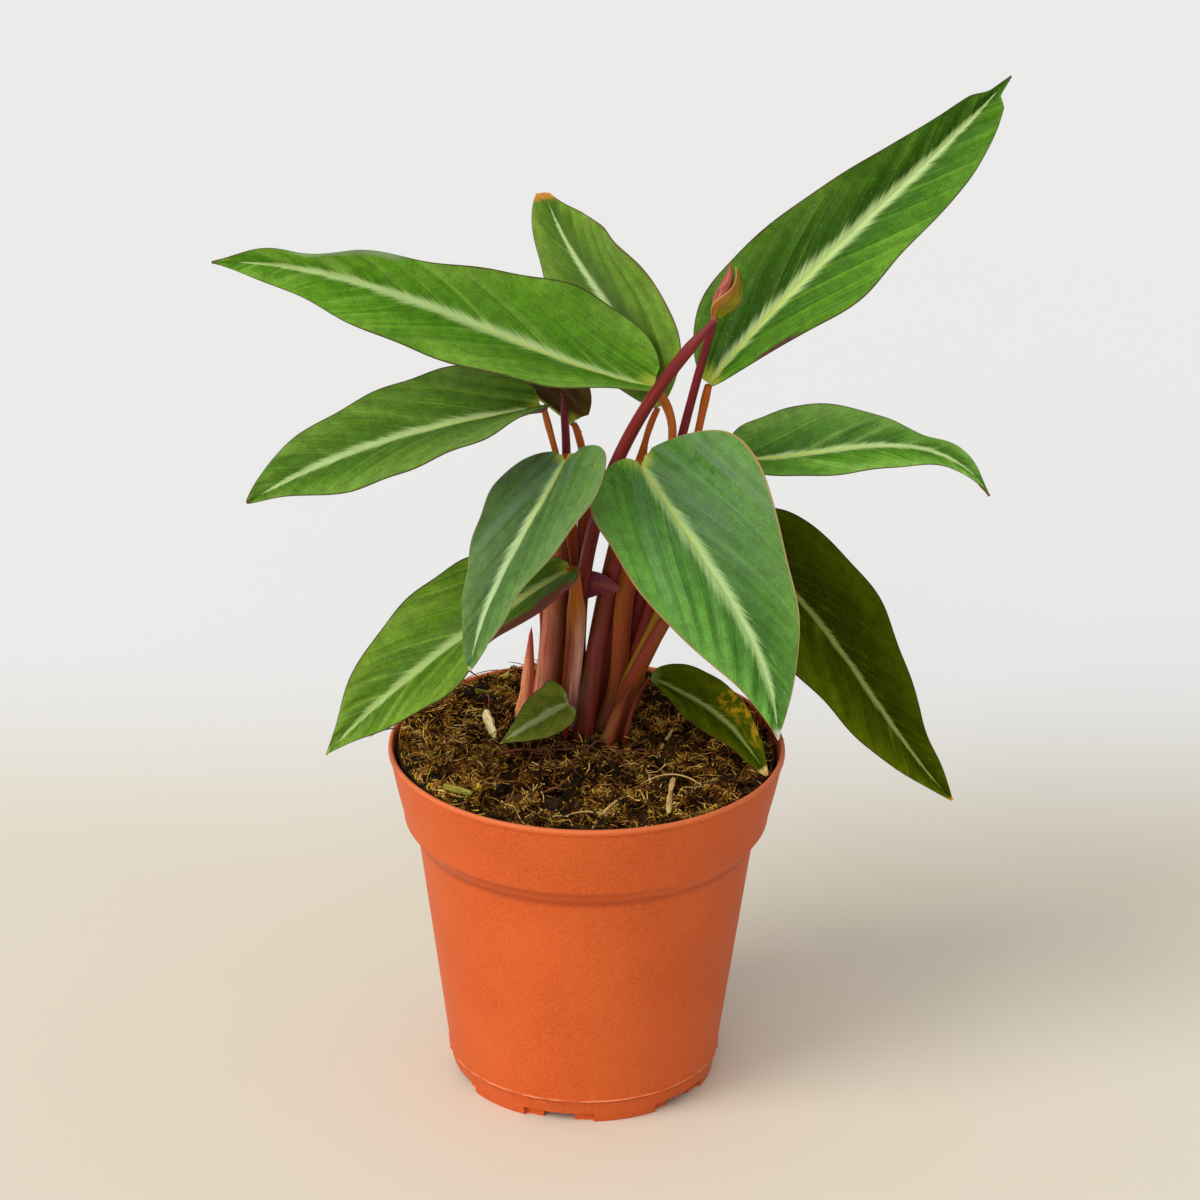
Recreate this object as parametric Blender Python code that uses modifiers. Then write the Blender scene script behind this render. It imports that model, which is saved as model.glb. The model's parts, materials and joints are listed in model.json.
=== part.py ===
"""A young potted stromanthe in a 10.5 cm nursery pot.

Metres, +Z up. The origin is on the ground under the middle of the pot, and -Y is the front.
Sizes in the tables below are millimetres, and MM turns them into metres.
"""

import math
from typing import NamedTuple

import bmesh
import bpy
import numpy as np
from mathutils import Vector

MM = 0.001

# Clearance between neighbouring pieces
GAP = 0.3

# Pot
POT_HEIGHT = 95.0
RIM_RADIUS = 52.5
BAND_BOTTOM = 75.5
BAND_BOTTOM_RADIUS = 48.3
LEDGE_BOTTOM = 69.0
BODY_TOP_RADIUS = 44.6
PARTING_HEIGHT = 6.9
PARTING_RADIUS = 36.3
PARTING_FLASH = 0.35
FOOT_RADIUS = 34.8
FOOT_INNER_RADIUS = 32.0
CHANNEL_HEIGHT = 3.0
HUB_RADIUS = 20.5
WALL = 1.2
POT_STEPS = 48
DRAINS = 6
FIRST_DRAIN = math.radians(-100.7)
DRAIN_RADIUS = 3.5
DRAIN_CIRCLE = 26.5
DRAIN_STEPS = 16
NOTCH_WIDTH = 19.0
NOTCH_HEIGHT = 2.6
NOTCH_FLOOR_RADIUS = 33.5
NOTCH_DEPTH = 6.0
SLOT_WIDTH = 8.0
SLOT_HEIGHT = 2.8

# Soil, and the clump that stands in it
SOIL_LEVEL = 91.5
SOIL_RINGS = 9
SOIL_STEPS = 36
CLUMP = (-4.0, 13.0)
MOUND_HEIGHT = 1.6
MOUND_RADIUS = 20.0
SOIL_EDGE_DEPTH = 4.0
SOIL_EDGE_RADIUS = RIM_RADIUS - 1.0 - WALL - GAP
FOOT_DEPTH = 84.0
RHIZOME_HALF = (15.5, 14.0, 5.5)
RHIZOME_TOP = FOOT_DEPTH - GAP
RHIZOME_BACK = 1.5
KNOBS = 4
KNOB_HEIGHT = 0.06

# Blades and stalks
BLADE_THICKNESS = 0.7
BLADE_ROWS = 15
BLADE_COLUMNS = 8
RIPPLES = 4.0
STALK_ROWS = 11
STALK_SIDES = 8
HOLE_ROWS = 3
HOLE_TOP_PLACE = 0.12

COLOURS = {
    "pot": (0.62, 0.16, 0.055, 0.55),
    "soil": (0.055, 0.032, 0.016, 0.95),
    "rhizome": (0.30, 0.19, 0.10, 0.85),
    "blade": (0.055, 0.17, 0.030, 0.42),
    "dark_blade": (0.040, 0.075, 0.018, 0.45),
    "purple_blade": (0.16, 0.018, 0.030, 0.50),
    "brown_stalk": (0.30, 0.105, 0.030, 0.45),
    "crimson_stalk": (0.22, 0.025, 0.028, 0.40),
    "purple_stalk": (0.13, 0.018, 0.035, 0.42),
    "pink_stalk": (0.46, 0.13, 0.085, 0.45),
    "rolled_leaf": (0.30, 0.17, 0.045, 0.42),
}


class Blade(NamedTuple):
    """A leaf blade. line is its midrib from the stalk to the tip.

    turn is how far the blade is rolled about the midrib, in degrees at the base and at the tip: at 0 its
    upper side faces the front. half is its half width, blunt and taper are how full its base and how
    slender its tip are, and lobe is how far the base reaches back on both sides of the stalk. lean makes
    the right half wider than the left. Each half rises from the midrib at the angle fold and bends down by
    droop on its way to the edge. ripple is the height of the waves along the edge. rows is how many rows
    of corners the blade has.
    """

    line: tuple
    turn: tuple
    half: float
    blunt: float
    taper: float
    lobe: float
    lean: tuple
    fold: float
    droop: float
    ripple: float
    colour: str = "blade"
    rows: int = BLADE_ROWS


class Stalk(NamedTuple):
    """A stalk, from where it leaves the soil to its top, with its radius at both ends."""

    line: tuple
    foot: float
    top: float
    colour: str
    flat: float = 1.0


BLADES = {
    "leaf_01": Blade(
        ((16.6, 12, 191.3), (-22.9, 7, 206.9), (-59.9, 3, 222.8), (-97.3, 0, 228.8)),
        turn=(81, -3), half=18.5, blunt=0.32, taper=1.05, lobe=1.2,
        lean=(0.15, -0.32), fold=26, droop=-2, ripple=1.2,
    ),
    "leaf_02": Blade(
        ((17.5, 21, 182.2), (7, 37, 200.7), (-1.5, 52, 208.1), (-13.5, 63, 228.1)),
        turn=(-8, -43), half=17.4, blunt=0.65, taper=0.65, lobe=0,
        lean=(0.14, 0), fold=12, droop=9, ripple=0.4,
    ),
    "leaf_03": Blade(
        ((30.5, 14, 191.5), (54, 20, 218), (82, 24, 246), (106.5, 24, 273.5)),
        turn=(-47, -1), half=15.9, blunt=0.5, taper=0.86, lobe=0,
        lean=(-0.25, 0.25), fold=22, droop=0, ripple=0.6,
    ),
    "leaf_04": Blade(
        ((-12.5, 10, 186), (-39.5, 2, 183.5), (-67.5, -8, 177.5), (-88, -16, 169)),
        turn=(93, 34), half=20.4, blunt=0.25, taper=0.84, lobe=0.2,
        lean=(-0.21, -0.1), fold=22, droop=0, ripple=0.5,
    ),
    "leaf_05": Blade(
        ((-4.5, 18.5, 178.6), (-21, 29, 186.6), (-34, 37.5, 189.8), (-49.5, 45, 193.6)),
        turn=(130, 129), half=17.1, blunt=0.34, taper=1.16, lobe=2.6,
        lean=(-0.25, 0), fold=19, droop=2, ripple=0.4, colour="dark_blade",
    ),
    "leaf_06": Blade(
        ((37.5, 12, 172), (63, 13, 174), (89, 12, 174.5), (104.5, 8, 163.5)),
        turn=(-60, -39), half=11.2, blunt=0.47, taper=1.3, lobe=2.4,
        lean=(-0.25, 0.25), fold=22, droop=0, ripple=0.4,
    ),
    "leaf_07": Blade(
        ((-6, -2, 177.5), (-13.5, -14, 167), (-23.5, -26, 150.5), (-30, -34, 131)),
        turn=(67, 64), half=21.5, blunt=0.35, taper=0.9, lobe=1.4,
        lean=(-0.23, -0.25), fold=18, droop=7, ripple=0.4,
    ),
    "leaf_08": Blade(
        ((13, -2, 176), (25.5, -20, 163), (41.5, -34, 141), (49, -42, 116)),
        turn=(-33, -7), half=23.9, blunt=0.46, taper=1.2, lobe=2.3,
        lean=(-0.13, 0.07), fold=22, droop=0, ripple=0.5,
    ),
    "leaf_09": Blade(
        ((41.5, 12, 145.5), (62, 8, 125.5), (79, 0, 103.5), (97, -8, 83)),
        turn=(-41, -32), half=16.8, blunt=0.38, taper=1.03, lobe=6,
        lean=(-0.13, 0.07), fold=12, droop=9, ripple=0.5, colour="dark_blade",
    ),
    "leaf_10": Blade(
        ((-4.5, 2, 144.5), (-27, -8, 133), (-51, -16, 116.5), (-68, -20, 100)),
        turn=(93, 20), half=21.7, blunt=0.49, taper=1.13, lobe=0.5,
        lean=(-0.25, 0.04), fold=27, droop=-7, ripple=0.5,
    ),
    "leaf_11": Blade(
        ((-11.5, 17, 129.5), (-4.5, 14, 133.5), (2, 10.4, 136.5), (8.5, 6.5, 136)),
        turn=(172, 172), half=4.2, blunt=0.5, taper=0.8, lobe=1,
        lean=(0, 0), fold=10, droop=5, ripple=0, colour="purple_blade", rows=10,
    ),
    "leaf_12": Blade(
        ((-5, 2, 105.5), (-11, -5, 105.5), (-16.5, -13, 105.5), (-22.5, -20, 104)),
        turn=(42, 25), half=6.7, blunt=0.31, taper=1.01, lobe=0.8,
        lean=(0.2, -0.08), fold=14, droop=7, ripple=0.2, rows=10,
    ),
    "leaf_13": Blade(
        ((16.5, 10, 109.5), (32, 3, 104), (38.5, -6, 102), (47.5, -16, 93.5)),
        turn=(-70, -41), half=8.4, blunt=0.41, taper=0.77, lobe=0,
        lean=(-0.1, 0.17), fold=22, droop=0, ripple=0.2, colour="dark_blade", rows=12,
    ),
}

STALKS = {
    "leaf_01_stalk": Stalk(
        ((2, 10.2, 92), (8.6, 12.9, 118), (17, 11.6, 160), (21, 11.2, 182.4), (16.9, 12, 190.9)),
        foot=1.6, top=1.1, colour="brown_stalk",
    ),
    "leaf_02_stalk": Stalk(
        ((1.2, 14.4, 92), (6.2, 17, 118), (11.8, 19, 152), (14.6, 20.4, 174), (17.2, 20.9, 181.5)),
        foot=1.5, top=0.8, colour="brown_stalk",
    ),
    "leaf_03_stalk": Stalk(
        ((6.3, 14.5, 92), (16.3, 14.6, 125), (24.8, 14.8, 160), (28.2, 14.6, 179), (30.4, 14, 191.2)),
        foot=1.6, top=1, colour="brown_stalk",
    ),
    "leaf_04_stalk": Stalk(
        ((-9.6, 22.3, 92), (-7.5, 20.5, 116), (-5.1, 16.8, 145), (-8.8, 12.2, 172), (-12.1, 10.2, 185.4)),
        foot=1.5, top=0.8, colour="brown_stalk",
    ),
    "leaf_05_stalk": Stalk(
        ((-5.9, 23.9, 92), (-3.4, 22, 115), (-1.4, 19.6, 144), (-1.6, 18, 168), (-4, 18.1, 177.8)),
        foot=1.5, top=0.9, colour="brown_stalk",
    ),
    "leaf_06_stalk": Stalk(
        ((8.6, 9.9, 92), (18, 10.2, 124), (28, 11.6, 152), (34, 12, 167), (36.7, 12, 171.1)),
        foot=1.5, top=1, colour="brown_stalk",
    ),
    "leaf_07_stalk": Stalk(
        ((-11.3, 16, 92), (-10.4, 13.8, 115), (-9.4, 10.8, 133), (-7.8, 6, 158), (-5.8, -1.1, 176.5)),
        foot=3, top=1.1, colour="pink_stalk", flat=0.68,
    ),
    "leaf_08_stalk": Stalk(
        ((-1, 6.5, 92), (1.7, 9.8, 116), (4.4, 12.6, 135), (8.3, 8, 157), (12.7, -1.5, 175.5)),
        foot=2.2, top=1.3, colour="brown_stalk",
    ),
    "leaf_09_stalk": Stalk(
        ((6, 6.3, 92), (14, 5.4, 116), (24, 7, 134), (34, 10.8, 143), (40.2, 12.4, 144)),
        foot=1.5, top=1, colour="purple_stalk",
    ),
    "leaf_10_stalk": Stalk(
        ((-5.4, 11.5, 92), (-4.8, 8, 114), (-4.2, 5, 128), (-3.4, 3, 138), (-4, 2.2, 143.8)),
        foot=2, top=1.5, colour="brown_stalk",
    ),
    "leaf_11_stalk": Stalk(
        ((-14.6, 21, 92), (-14, 20, 104), (-13.4, 19.2, 116), (-13, 18.4, 123), (-12.5, 17.6, 128.1)),
        foot=1.2, top=0.8, colour="pink_stalk",
    ),
    "leaf_12_stalk": Stalk(
        ((-6.2, 6.2, 92), (-6, 5.2, 96), (-5.6, 3.8, 101), (-5.2, 2.4, 104.6)),
        foot=1, top=0.7, colour="brown_stalk",
    ),
    "leaf_13_stalk": Stalk(
        ((9.8, 7.6, 92), (11, 8.4, 98), (13, 9.4, 104), (16, 10, 109)),
        foot=1, top=0.7, colour="brown_stalk",
    ),
    "rolled_leaf_stalk": Stalk(
        ((-3.6, 17, 92), (-2.1, 11.2, 119), (1.3, 5.6, 150), (9.5, -0.5, 181.5), (31.4, -4, 216.3)),
        foot=2.1, top=1.6, colour="crimson_stalk",
    ),
    "furled_shoot_right": Stalk(
        ((3.6, 18, 92), (11.5, 17.6, 120), (18.2, 15.4, 150), (24.3, 13, 179.5), (33, 9.5, 216.6)),
        foot=1.6, top=1.1, colour="purple_stalk",
    ),
    "furled_shoot_left": Stalk(
        ((-9.4, 26.6, 92), (-7, 24.5, 114), (-6.2, 20.8, 143), (-6.2, 13.6, 171), (-7.4, 11.6, 190)),
        foot=1.4, top=0.35, colour="purple_stalk",
    ),
    "basal_shoot": Stalk(
        ((-17.6, 22.4, 92), (-16.2, 22, 101), (-15.6, 21.6, 110), (-15.2, 21.2, 119)),
        foot=1.6, top=0.4, colour="pink_stalk",
    ),
    "basal_sheath": Stalk(
        ((4.2, 2.8, 92), (6.4, 2.6, 98), (9, 2.4, 105), (11.6, 2.2, 111)),
        foot=1.2, top=0.4, colour="purple_stalk",
    ),
}

ROLLED_LEAF = Stalk(
    ((31.9, -4, 217.3), (33.6, -4, 222), (35.6, -3.8, 227), (35.8, -3.6, 231.6)),
    foot=1.4, top=0.4, colour="rolled_leaf",
)
ROLLED_LEAF_SWELL = 3.1


def clear_scene():
    for item in list(bpy.data.objects):
        bpy.data.objects.remove(item, do_unlink=True)


def new_collection(name):
    collection = bpy.data.collections.new(name)
    bpy.context.scene.collection.children.link(collection)
    return collection


def material(name):
    """The finish of that name: its colour and its roughness."""
    found = bpy.data.materials.get(name)
    if found:
        return found
    made = bpy.data.materials.new(name)
    made.use_nodes = True
    shader = made.node_tree.nodes["Principled BSDF"]
    red, green, blue, roughness = COLOURS[name]
    shader.inputs["Base Color"].default_value = (red, green, blue, 1)
    shader.inputs["Roughness"].default_value = roughness
    shader.inputs["Metallic"].default_value = 0
    return made


def add_object(name, mesh, collection, colour=None):
    item = bpy.data.objects.new(name, mesh)
    collection.objects.link(item)
    if colour:
        mesh.materials.append(material(colour))
    return item


def add_cutter(name, mesh):
    item = add_object(name, mesh, cutters)
    item.hide_render = True
    item.display_type = "WIRE"
    return item


def smooth(item, angle=50):
    item.data.shade_smooth()
    item.data.set_sharp_from_angle(angle=math.radians(angle))


def cut(item, cutter, operation="DIFFERENCE"):
    boolean = item.modifiers.new(cutter.name, "BOOLEAN")
    boolean.operation = operation
    boolean.object = cutter
    return boolean


def along(points, places):
    """Points on one smooth curve through the given points, at places from 0 at its start to 1 at its end."""
    points = np.array(points, float)
    steps = np.linalg.norm(np.diff(points, axis=0), axis=1)
    knots = np.concatenate([[0], np.cumsum(steps)]) / steps.sum()
    found = np.zeros((len(places), 3))
    for i, point in enumerate(points):
        weight = np.ones(len(places))
        for j, knot in enumerate(knots):
            if j != i:
                weight *= (places - knot) / (knots[i] - knot)
        found += weight[:, None] * point
    return found


def unit(vectors):
    return vectors / np.linalg.norm(vectors, axis=-1, keepdims=True)


def directions(points, places):
    step = 0.001
    return unit(along(points, places + step) - along(points, places - step))


def turned(name, profile, steps):
    """A mesh turned about Z from a profile that runs down its outer side, as (radius, height) pairs."""
    mesh = bpy.data.meshes.new(name)
    corners = [(radius * MM, 0, height * MM) for radius, height in profile]
    edges = [(i, i + 1) for i in range(len(corners) - 1)]
    mesh.from_pydata(corners, edges, [])
    item = add_object(name, mesh, cutters)
    screw = item.modifiers.new("Turn", "SCREW")
    screw.steps = steps
    screw.render_steps = steps
    screw.use_merge_vertices = True
    screw.merge_threshold = 0.00001
    made = evaluated(item)
    bpy.data.objects.remove(item)
    return made


def evaluated(item):
    graph = bpy.context.evaluated_depsgraph_get()
    made = bpy.data.meshes.new_from_object(item.evaluated_get(graph))
    made.name = item.name
    return made


def pot_outside():
    """The pot's outer side from the top of the rim to the ground, as (radius, height) pairs."""
    return [
        (RIM_RADIUS - WALL / 2, POT_HEIGHT),
        (RIM_RADIUS - 0.2, POT_HEIGHT - 0.3),
        (RIM_RADIUS, POT_HEIGHT - 1.0),
        (RIM_RADIUS - 0.1, POT_HEIGHT - 2.0),
        (RIM_RADIUS - 0.6, POT_HEIGHT - 2.8),
        (BAND_BOTTOM_RADIUS, BAND_BOTTOM),
        (BAND_BOTTOM_RADIUS - 0.4, BAND_BOTTOM - 1.1),
        (BAND_BOTTOM_RADIUS - 1.3, BAND_BOTTOM - 2.3),
        (BODY_TOP_RADIUS + 0.8, LEDGE_BOTTOM + 1.8),
        (BODY_TOP_RADIUS, LEDGE_BOTTOM),
        (PARTING_RADIUS, PARTING_HEIGHT + 0.3),
        (PARTING_RADIUS + PARTING_FLASH, PARTING_HEIGHT),
        (PARTING_RADIUS - 0.1, PARTING_HEIGHT - 0.3),
        (FOOT_RADIUS + 0.2, 0.6),
        (FOOT_RADIUS, 0),
    ]


def pot_inside(inset=0.0):
    """The pot's inner side from the rim to the middle of the floor, moved in by inset."""
    wall = WALL + inset
    floor = WALL + inset
    return [
        (RIM_RADIUS - wall, POT_HEIGHT - 0.4),
        (RIM_RADIUS - 0.6 - wall, POT_HEIGHT - 2.8),
        (BAND_BOTTOM_RADIUS - wall, BAND_BOTTOM + 0.3),
        (BODY_TOP_RADIUS + 0.8 - wall, LEDGE_BOTTOM + 2.1),
        (BODY_TOP_RADIUS - wall, LEDGE_BOTTOM),
        (PARTING_RADIUS - wall, PARTING_HEIGHT),
        (PARTING_RADIUS - wall - 1.5, CHANNEL_HEIGHT + floor),
        (HUB_RADIUS - 0.7 - inset, CHANNEL_HEIGHT + floor),
        (HUB_RADIUS - 1.5 - inset, floor),
        (0, floor),
    ]


def box_cutter(name, size, radius, angle):
    """A box on the ground at that radius from the axis, turned to the angle round it."""
    mesh = bpy.data.meshes.new(name)
    builder = bmesh.new()
    bmesh.ops.create_cube(builder, size=1)
    bmesh.ops.scale(builder, vec=[side * MM for side in size], verts=builder.verts)
    bmesh.ops.translate(builder, vec=(radius * MM, 0, 0), verts=builder.verts)
    builder.to_mesh(mesh)
    builder.free()
    item = add_cutter(name, mesh)
    item.rotation_euler.z = angle
    return item


def drain_cutter(name, angle):
    mesh = bpy.data.meshes.new(name)
    builder = bmesh.new()
    bmesh.ops.create_cone(
        builder,
        cap_ends=True,
        segments=DRAIN_STEPS,
        radius1=DRAIN_RADIUS * MM,
        radius2=DRAIN_RADIUS * MM,
        depth=4 * WALL * MM,
    )
    builder.to_mesh(mesh)
    builder.free()
    item = add_cutter(name, mesh)
    height = CHANNEL_HEIGHT + WALL / 2
    item.location = Vector((math.cos(angle), math.sin(angle), 0)) * DRAIN_CIRCLE * MM
    item.location.z = height * MM
    return item


def make_pot():
    """The pot, with a notch in its foot ring and a hole in its floor at each drain."""
    underside = [
        (FOOT_INNER_RADIUS, 0),
        (FOOT_INNER_RADIUS - 0.5, CHANNEL_HEIGHT),
        (HUB_RADIUS + 0.5, CHANNEL_HEIGHT),
        (HUB_RADIUS, 0),
        (0, 0),
    ]
    profile = pot_inside()[::-1] + pot_outside() + underside
    item = add_object("pot", turned("pot", profile, POT_STEPS), parts, "pot")
    for number in range(DRAINS):
        angle = FIRST_DRAIN + number * 2 * math.pi / DRAINS
        notch_middle = NOTCH_FLOOR_RADIUS + NOTCH_DEPTH / 2
        notch_size = (NOTCH_DEPTH, NOTCH_WIDTH, 2 * NOTCH_HEIGHT)
        notch = box_cutter(f"notch_{number}", notch_size, notch_middle, angle)
        slot_size = (NOTCH_DEPTH, SLOT_WIDTH, 2 * SLOT_HEIGHT)
        slot = box_cutter(f"slot_{number}", slot_size, FOOT_INNER_RADIUS, angle)
        cut(item, notch)
        cut(item, slot)
        cut(item, drain_cutter(f"drain_{number}", angle))
    smooth(item, 35)
    return item


def soil_height(x, y):
    """The soil's surface: clods from a few crossing waves, and a low mound round the clump."""
    clods = 0.55 * math.sin(0.31 * x + 0.9) * math.cos(0.27 * y - 0.4)
    clods += 0.45 * math.sin(0.53 * x - 0.41 * y + 1.7)
    clods += 0.35 * math.sin(0.37 * x + 0.72 * y)
    reach = math.hypot(x - CLUMP[0], y - CLUMP[1]) / MOUND_RADIUS
    return SOIL_LEVEL + clods + MOUND_HEIGHT * math.exp(-reach * reach)


def make_soil():
    """The soil block: it follows the pot's inside, and its top is a grid of rings."""
    below = [point for point in pot_inside(GAP) if point[1] < SOIL_LEVEL - SOIL_EDGE_DEPTH]
    builder = bmesh.new()
    rings = []
    for number in range(SOIL_RINGS):
        radius = SOIL_EDGE_RADIUS * (1 - number / SOIL_RINGS)
        rings.append(ring(builder, radius, None))
    sides = [ring(builder, radius, height) for radius, height in below if radius > 0]
    middle_top = builder.verts.new((0, 0, soil_height(0, 0) * MM))
    middle_bottom = builder.verts.new((0, 0, below[-1][1] * MM))
    shell = rings[::-1] + sides
    for inner, outer in zip(shell, shell[1:]):
        for i in range(SOIL_STEPS):
            j = (i + 1) % SOIL_STEPS
            builder.faces.new((inner[i], outer[i], outer[j], inner[j]))
    for i in range(SOIL_STEPS):
        j = (i + 1) % SOIL_STEPS
        builder.faces.new((middle_top, shell[0][i], shell[0][j]))
        builder.faces.new((middle_bottom, shell[-1][j], shell[-1][i]))
    bmesh.ops.triangulate(builder, faces=builder.faces)
    bmesh.ops.recalc_face_normals(builder, faces=builder.faces)
    mesh = bpy.data.meshes.new("soil")
    builder.to_mesh(mesh)
    builder.free()
    return add_object("soil", mesh, parts, "soil")


def ring(builder, radius, height):
    """A ring of corners at that height, or on the soil's surface."""
    corners = []
    for i in range(SOIL_STEPS):
        angle = 2 * math.pi * i / SOIL_STEPS
        x = radius * math.cos(angle)
        y = radius * math.sin(angle)
        level = soil_height(x, y) if height is None else height
        corners.append(builder.verts.new((x * MM, y * MM, level * MM)))
    return corners


def rhizome_mesh(name, grow):
    """The root stock: a flattened round body with a level top for the stalks."""
    builder = bmesh.new()
    bmesh.ops.create_uvsphere(builder, u_segments=20, v_segments=10, radius=1)
    centre = RHIZOME_TOP - RHIZOME_HALF[2] * 0.75
    for corner in builder.verts:
        x, y, z = corner.co
        knob = 1 + KNOB_HEIGHT * math.sin(KNOBS * math.atan2(y, x)) * (1 - z * z)
        wide = (RHIZOME_HALF[0] * knob + grow) * x + CLUMP[0]
        deep = (RHIZOME_HALF[1] * knob + grow) * y + CLUMP[1] + RHIZOME_BACK
        high = min((RHIZOME_HALF[2] + grow) * z + centre, RHIZOME_TOP + grow)
        corner.co = (wide * MM, deep * MM, high * MM)
    mesh = bpy.data.meshes.new(name)
    builder.to_mesh(mesh)
    builder.free()
    return mesh


def blade_grid(blade):
    """The blade's middle surface as rows of points, from the base to the tip."""
    spread = np.linspace(0, 1, blade.rows)
    places = 0.003 + 0.992 * (0.5 - 0.5 * np.cos(np.pi * spread))
    middle = along(blade.line, places)
    ahead = directions(blade.line, places)
    front = np.array([0.0, -1.0, 0.0])
    facing = unit(front - (ahead @ front)[:, None] * ahead)
    rising = np.cross(ahead, facing)
    turn = np.radians(blade.turn[0] + (blade.turn[1] - blade.turn[0]) * places)[:, None]
    normal = facing * np.cos(turn) + rising * np.sin(turn)
    side = np.cross(ahead, normal)
    widest = blade.blunt / (blade.blunt + blade.taper)
    width = places**blade.blunt * (1 - places) ** blade.taper
    width = width / (widest**blade.blunt * (1 - widest) ** blade.taper)
    lean = blade.lean[0] + (blade.lean[1] - blade.lean[0]) * places
    columns = []
    for across in np.linspace(-1, 1, BLADE_COLUMNS + 1):
        reach = abs(across)
        hand = math.copysign(1, across)
        half = blade.half * width * (1 + hand * lean)
        out, up = bent_section(blade, reach)
        wave = np.sin(2 * np.pi * (RIPPLES * places + 0.25 * hand))
        lift = blade.ripple * wave * reach**3 * np.sin(np.pi * places) ** 0.5
        back = blade.lobe * (1 - places) ** 3 * reach**1.5
        row = middle + side * (hand * half * out)[:, None]
        row += normal * (half * up + lift)[:, None]
        row -= ahead * back[:, None]
        columns.append(row)
    return np.array(columns).transpose(1, 0, 2)


def bent_section(blade, reach):
    """How far out and up a half blade has come at that part of its width."""
    steps = 8
    out = 0.0
    up = 0.0
    for step in range(steps):
        part = reach * (step + 0.5) / steps
        angle = math.radians(blade.fold - blade.droop * part)
        out += math.cos(angle) * reach / steps
        up += math.sin(angle) * reach / steps
    return out, up


def make_blade(name, blade):
    """The blade: its surface is split into triangles first, so that both faces of its wall are alike."""
    points = blade_grid(blade)
    builder = bmesh.new()
    grid = [[builder.verts.new(Vector(point) * MM) for point in row] for row in points]
    for row, following in zip(grid, grid[1:]):
        for i in range(BLADE_COLUMNS):
            if i < BLADE_COLUMNS / 2:
                builder.faces.new((row[i], row[i + 1], following[i + 1]))
                builder.faces.new((row[i], following[i + 1], following[i]))
            else:
                builder.faces.new((row[i], row[i + 1], following[i]))
                builder.faces.new((row[i + 1], following[i + 1], following[i]))
    mesh = bpy.data.meshes.new(name)
    builder.to_mesh(mesh)
    builder.free()
    item = add_object(name, mesh, parts, blade.colour)
    wall = item.modifiers.new("Wall", "SOLIDIFY")
    wall.thickness = BLADE_THICKNESS * MM
    wall.offset = 0
    smooth(item, 70)
    return item


def stalk_mesh(name, stalk, grow=0.0, swell=0.0, foot_only=False, rooted=True):
    """A stalk as a loft of ovals. A rooted one goes straight down into the soil from its first point.

    grow fattens it, for the hole that it stands in, and swell adds to its middle.
    """
    rows = HOLE_ROWS if foot_only else STALK_ROWS
    top_place = HOLE_TOP_PLACE if foot_only else 1.0
    places = np.linspace(0, top_place, rows)
    middle = along(stalk.line, places)
    ahead = directions(stalk.line, places)
    radius = stalk.top + (stalk.foot - stalk.top) * (1 - places) ** 1.5
    radius = radius + swell * np.sin(np.pi * places**0.8) ** 1.3 + grow
    flat = 1 + (stalk.flat - 1) * (1 - places)
    if rooted:
        foot = middle[:1].copy()
        foot[0, 2] = FOOT_DEPTH - grow
        middle = np.concatenate([foot, middle])
        ahead = np.concatenate([[[0.0, 0.0, 1.0]], ahead])
        radius = np.concatenate([radius[:1], radius])
        flat = np.concatenate([flat[:1], flat])
    wide = unit(np.cross(np.array([0.0, 1.0, 0.0]), ahead))
    deep = np.cross(ahead, wide)
    builder = bmesh.new()
    rings = []
    for row, centre in enumerate(middle):
        corners = []
        for i in range(STALK_SIDES):
            angle = 2 * math.pi * i / STALK_SIDES
            offset = wide[row] * math.cos(angle) + deep[row] * math.sin(angle) * flat[row]
            corners.append(builder.verts.new(Vector(centre + offset * radius[row]) * MM))
        rings.append(corners)
    for lower, upper in zip(rings, rings[1:]):
        for i in range(STALK_SIDES):
            j = (i + 1) % STALK_SIDES
            builder.faces.new((lower[i], lower[j], upper[j], upper[i]))
    builder.faces.new(rings[0][::-1])
    builder.faces.new(rings[-1])
    bmesh.ops.recalc_face_normals(builder, faces=builder.faces)
    mesh = bpy.data.meshes.new(name)
    builder.to_mesh(mesh)
    builder.free()
    return mesh


def fuse_cutters(name, meshes):
    """One cutter from several closed meshes."""
    loose = new_collection(f"{name}_parts")
    for number, mesh in enumerate(meshes[1:]):
        add_object(f"{name}_{number}", mesh, loose)
    item = add_cutter(name, meshes[0])
    union = item.modifiers.new("Join", "BOOLEAN")
    union.operation = "UNION"
    union.operand_type = "COLLECTION"
    union.collection = loose
    union.solver = "MANIFOLD"
    made = evaluated(item)
    item.modifiers.clear()
    item.data = made
    for helper in list(loose.objects):
        bpy.data.objects.remove(helper)
    bpy.data.collections.remove(loose)
    return item


clear_scene()
parts = new_collection("potted_stromanthe")
cutters = new_collection("cutters")
cutters.hide_render = True

make_pot()
soil = make_soil()
add_object("rhizome", rhizome_mesh("rhizome", 0.0), parts, "rhizome")
holes = [rhizome_mesh("rhizome_hole", GAP)]
for stalk_name, stalk in STALKS.items():
    smooth(add_object(stalk_name, stalk_mesh(stalk_name, stalk), parts, stalk.colour))
    holes.append(stalk_mesh(f"{stalk_name}_hole", stalk, grow=GAP, foot_only=True))
stalk_holes = fuse_cutters("stalk_holes", holes)
cut(soil, stalk_holes)
for blade_name, blade in BLADES.items():
    make_blade(f"{blade_name}_blade", blade)
swell = ROLLED_LEAF_SWELL - ROLLED_LEAF.foot
rolled = stalk_mesh("rolled_leaf", ROLLED_LEAF, swell=swell, rooted=False)
smooth(add_object("rolled_leaf", rolled, parts, ROLLED_LEAF.colour))
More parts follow.
